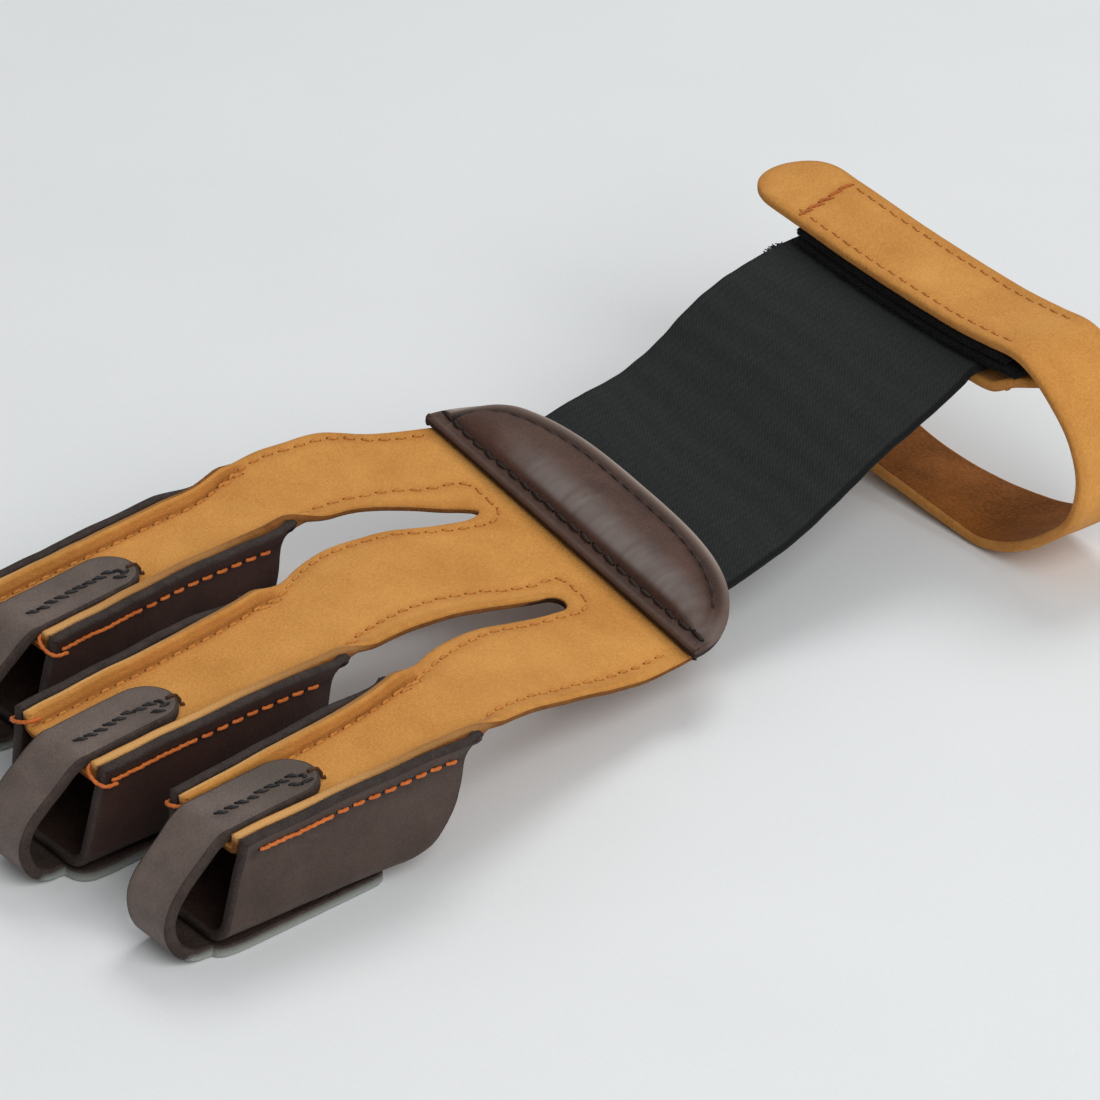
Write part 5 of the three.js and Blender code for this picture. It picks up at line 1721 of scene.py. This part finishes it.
# %% Seams in the patch and the strap
rim_seam, front_seam = patch_seams()
for name, line, radius in (("patch_rim_stitches", rim_seam, 0.26),
                           ("patch_front_stitches", front_seam, 0.36)):
    sewing = Sewing(name, THREAD_DARK, HOLE_SHADE_DARK, radius, pitch=3.2, stitch=2.3, seed=15)
    sewing.row(patch_surface, line + np.array([0, 0, 1.2]))
    sewing.finish()

long_far, long_near, cross_row = outer_seams(1.0)
strap_sewing = Sewing("strap_stitches", THREAD_HONEY, HOLE_SHADE_TAN, 0.23, stitch=1.45, seed=16)
for line in (long_far, long_near, *inner_seams(1.0)):
    strap_sewing.row(strap_surface, line)
strap_sewing.finish()
cross_sewing = Sewing("strap_cross_stitches", THREAD_RUST, HOLE_SHADE_TAN, 0.27, stitch=1.75, seed=18)
cross_sewing.row(strap_surface, cross_row)
cross_sewing.row(strap_surface, cross_row + np.array([0.3, 0, 0]), sway=0.3, start=1.2)
cross_sewing.finish()

# %% Frayed yarns of the elastic
YARNS, FRAYED, YARN_INSET, YARN_REACH = 44, (54.0, 58.5), 0.004, (0.3, 1.1)
YARN_SPREAD = {"up": (-0.6, 0.6), "bend": ((-0.35, 0.35), (-0.5, 0.3)),
               "curl": ((-0.3, 0.3), (-0.4, 0.2))}

fray = Sewing("elastic_frayed_yarns", ELASTIC_CUT, ELASTIC_CUT, 0.1, seed=17)
for _ in range(YARNS):
    cut = elastic_point(np.array([YARN_INSET]), fray.hand.uniform(*FRAYED))[0]
    root = cut + np.array([0, 0, fray.hand.uniform(*YARN_SPREAD["up"])])
    reach = fray.hand.uniform(*YARN_REACH)
    bend = np.array([-1.0, *(fray.hand.uniform(*span) for span in YARN_SPREAD["bend"])])
    curl = np.array([0, *(fray.hand.uniform(*span) for span in YARN_SPREAD["curl"])])
    fray.loop([root, root + bend * reach * 0.5, root + (bend + curl) * reach])
fray.finish()

# %% [markdown]
# ## Floor and light
# The glove lies on a plain pale table. The key lamp stands high on its far side and draws the soft
# shadow that falls toward the near side. A wider lamp on the near side reaches under the palm and
# the elastic, so that the table there stays bright, and a pale even surrounding keeps every shadow
# open. The size of a lamp decides how soft its shadows are.

# %% Floor, lamps and surrounding
def floor_finish():
    material, tree, shader = start_material("floor_paper")
    grain = place_group(tree, hide_grain, Mottle_Size=60.0, Grain_Size=0.8)
    colour = mix_colour(tree, grain.outputs["Tone"], srgb(226, 228, 229), srgb(230, 232, 232))
    tree.links.new(colour, shader.inputs["Base Color"])
    shader.inputs["Roughness"].default_value = 0.9
    shader.inputs["Specular IOR Level"].default_value = 0.2
    return material


FLOOR_HALF, FLOOR_DROP = 3000.0, -0.05
SURROUNDING, SURROUNDING_STRENGTH = (0.97, 0.985, 1.0, 1.0), 0.4
corners = [(sx * FLOOR_HALF, sy * FLOOR_HALF, FLOOR_DROP)
           for sx, sy in ((-1, -1), (1, -1), (1, 1), (-1, 1))]
floor = add_object("floor", corners, [[0, 1, 2, 3]], [floor_finish()])

LAMPS = (
    {"name": "key_lamp", "from": (-0.45, 0.75, 1.3), "distance": 1.2, "size": 0.6, "energy": 4.2},
    {"name": "fill_lamp", "from": (0.8, -0.1, 0.68), "distance": 1.2, "size": 0.9, "energy": 8.8},
)
for row in LAMPS:
    lamp = bpy.data.objects.new(row["name"], bpy.data.lights.new(row["name"], "AREA"))
    lamp.data.shape, lamp.data.size, lamp.data.energy = "DISK", row["size"], row["energy"]
    comes_from = Vector(row["from"]).normalized()
    lamp.location = comes_from * row["distance"]
    lamp.rotation_euler = comes_from.to_track_quat("Z", "Y").to_euler()
    bpy.context.scene.collection.objects.link(lamp)

world = bpy.data.worlds.new("pale_studio")
world.use_nodes = True
background = world.node_tree.nodes["Background"]
background.inputs["Color"].default_value = SURROUNDING
background.inputs["Strength"].default_value = SURROUNDING_STRENGTH
bpy.context.scene.world = world
bpy.context.scene.view_settings.view_transform = "Standard"
print("lamps:", [(row["name"], row["energy"]) for row in LAMPS])
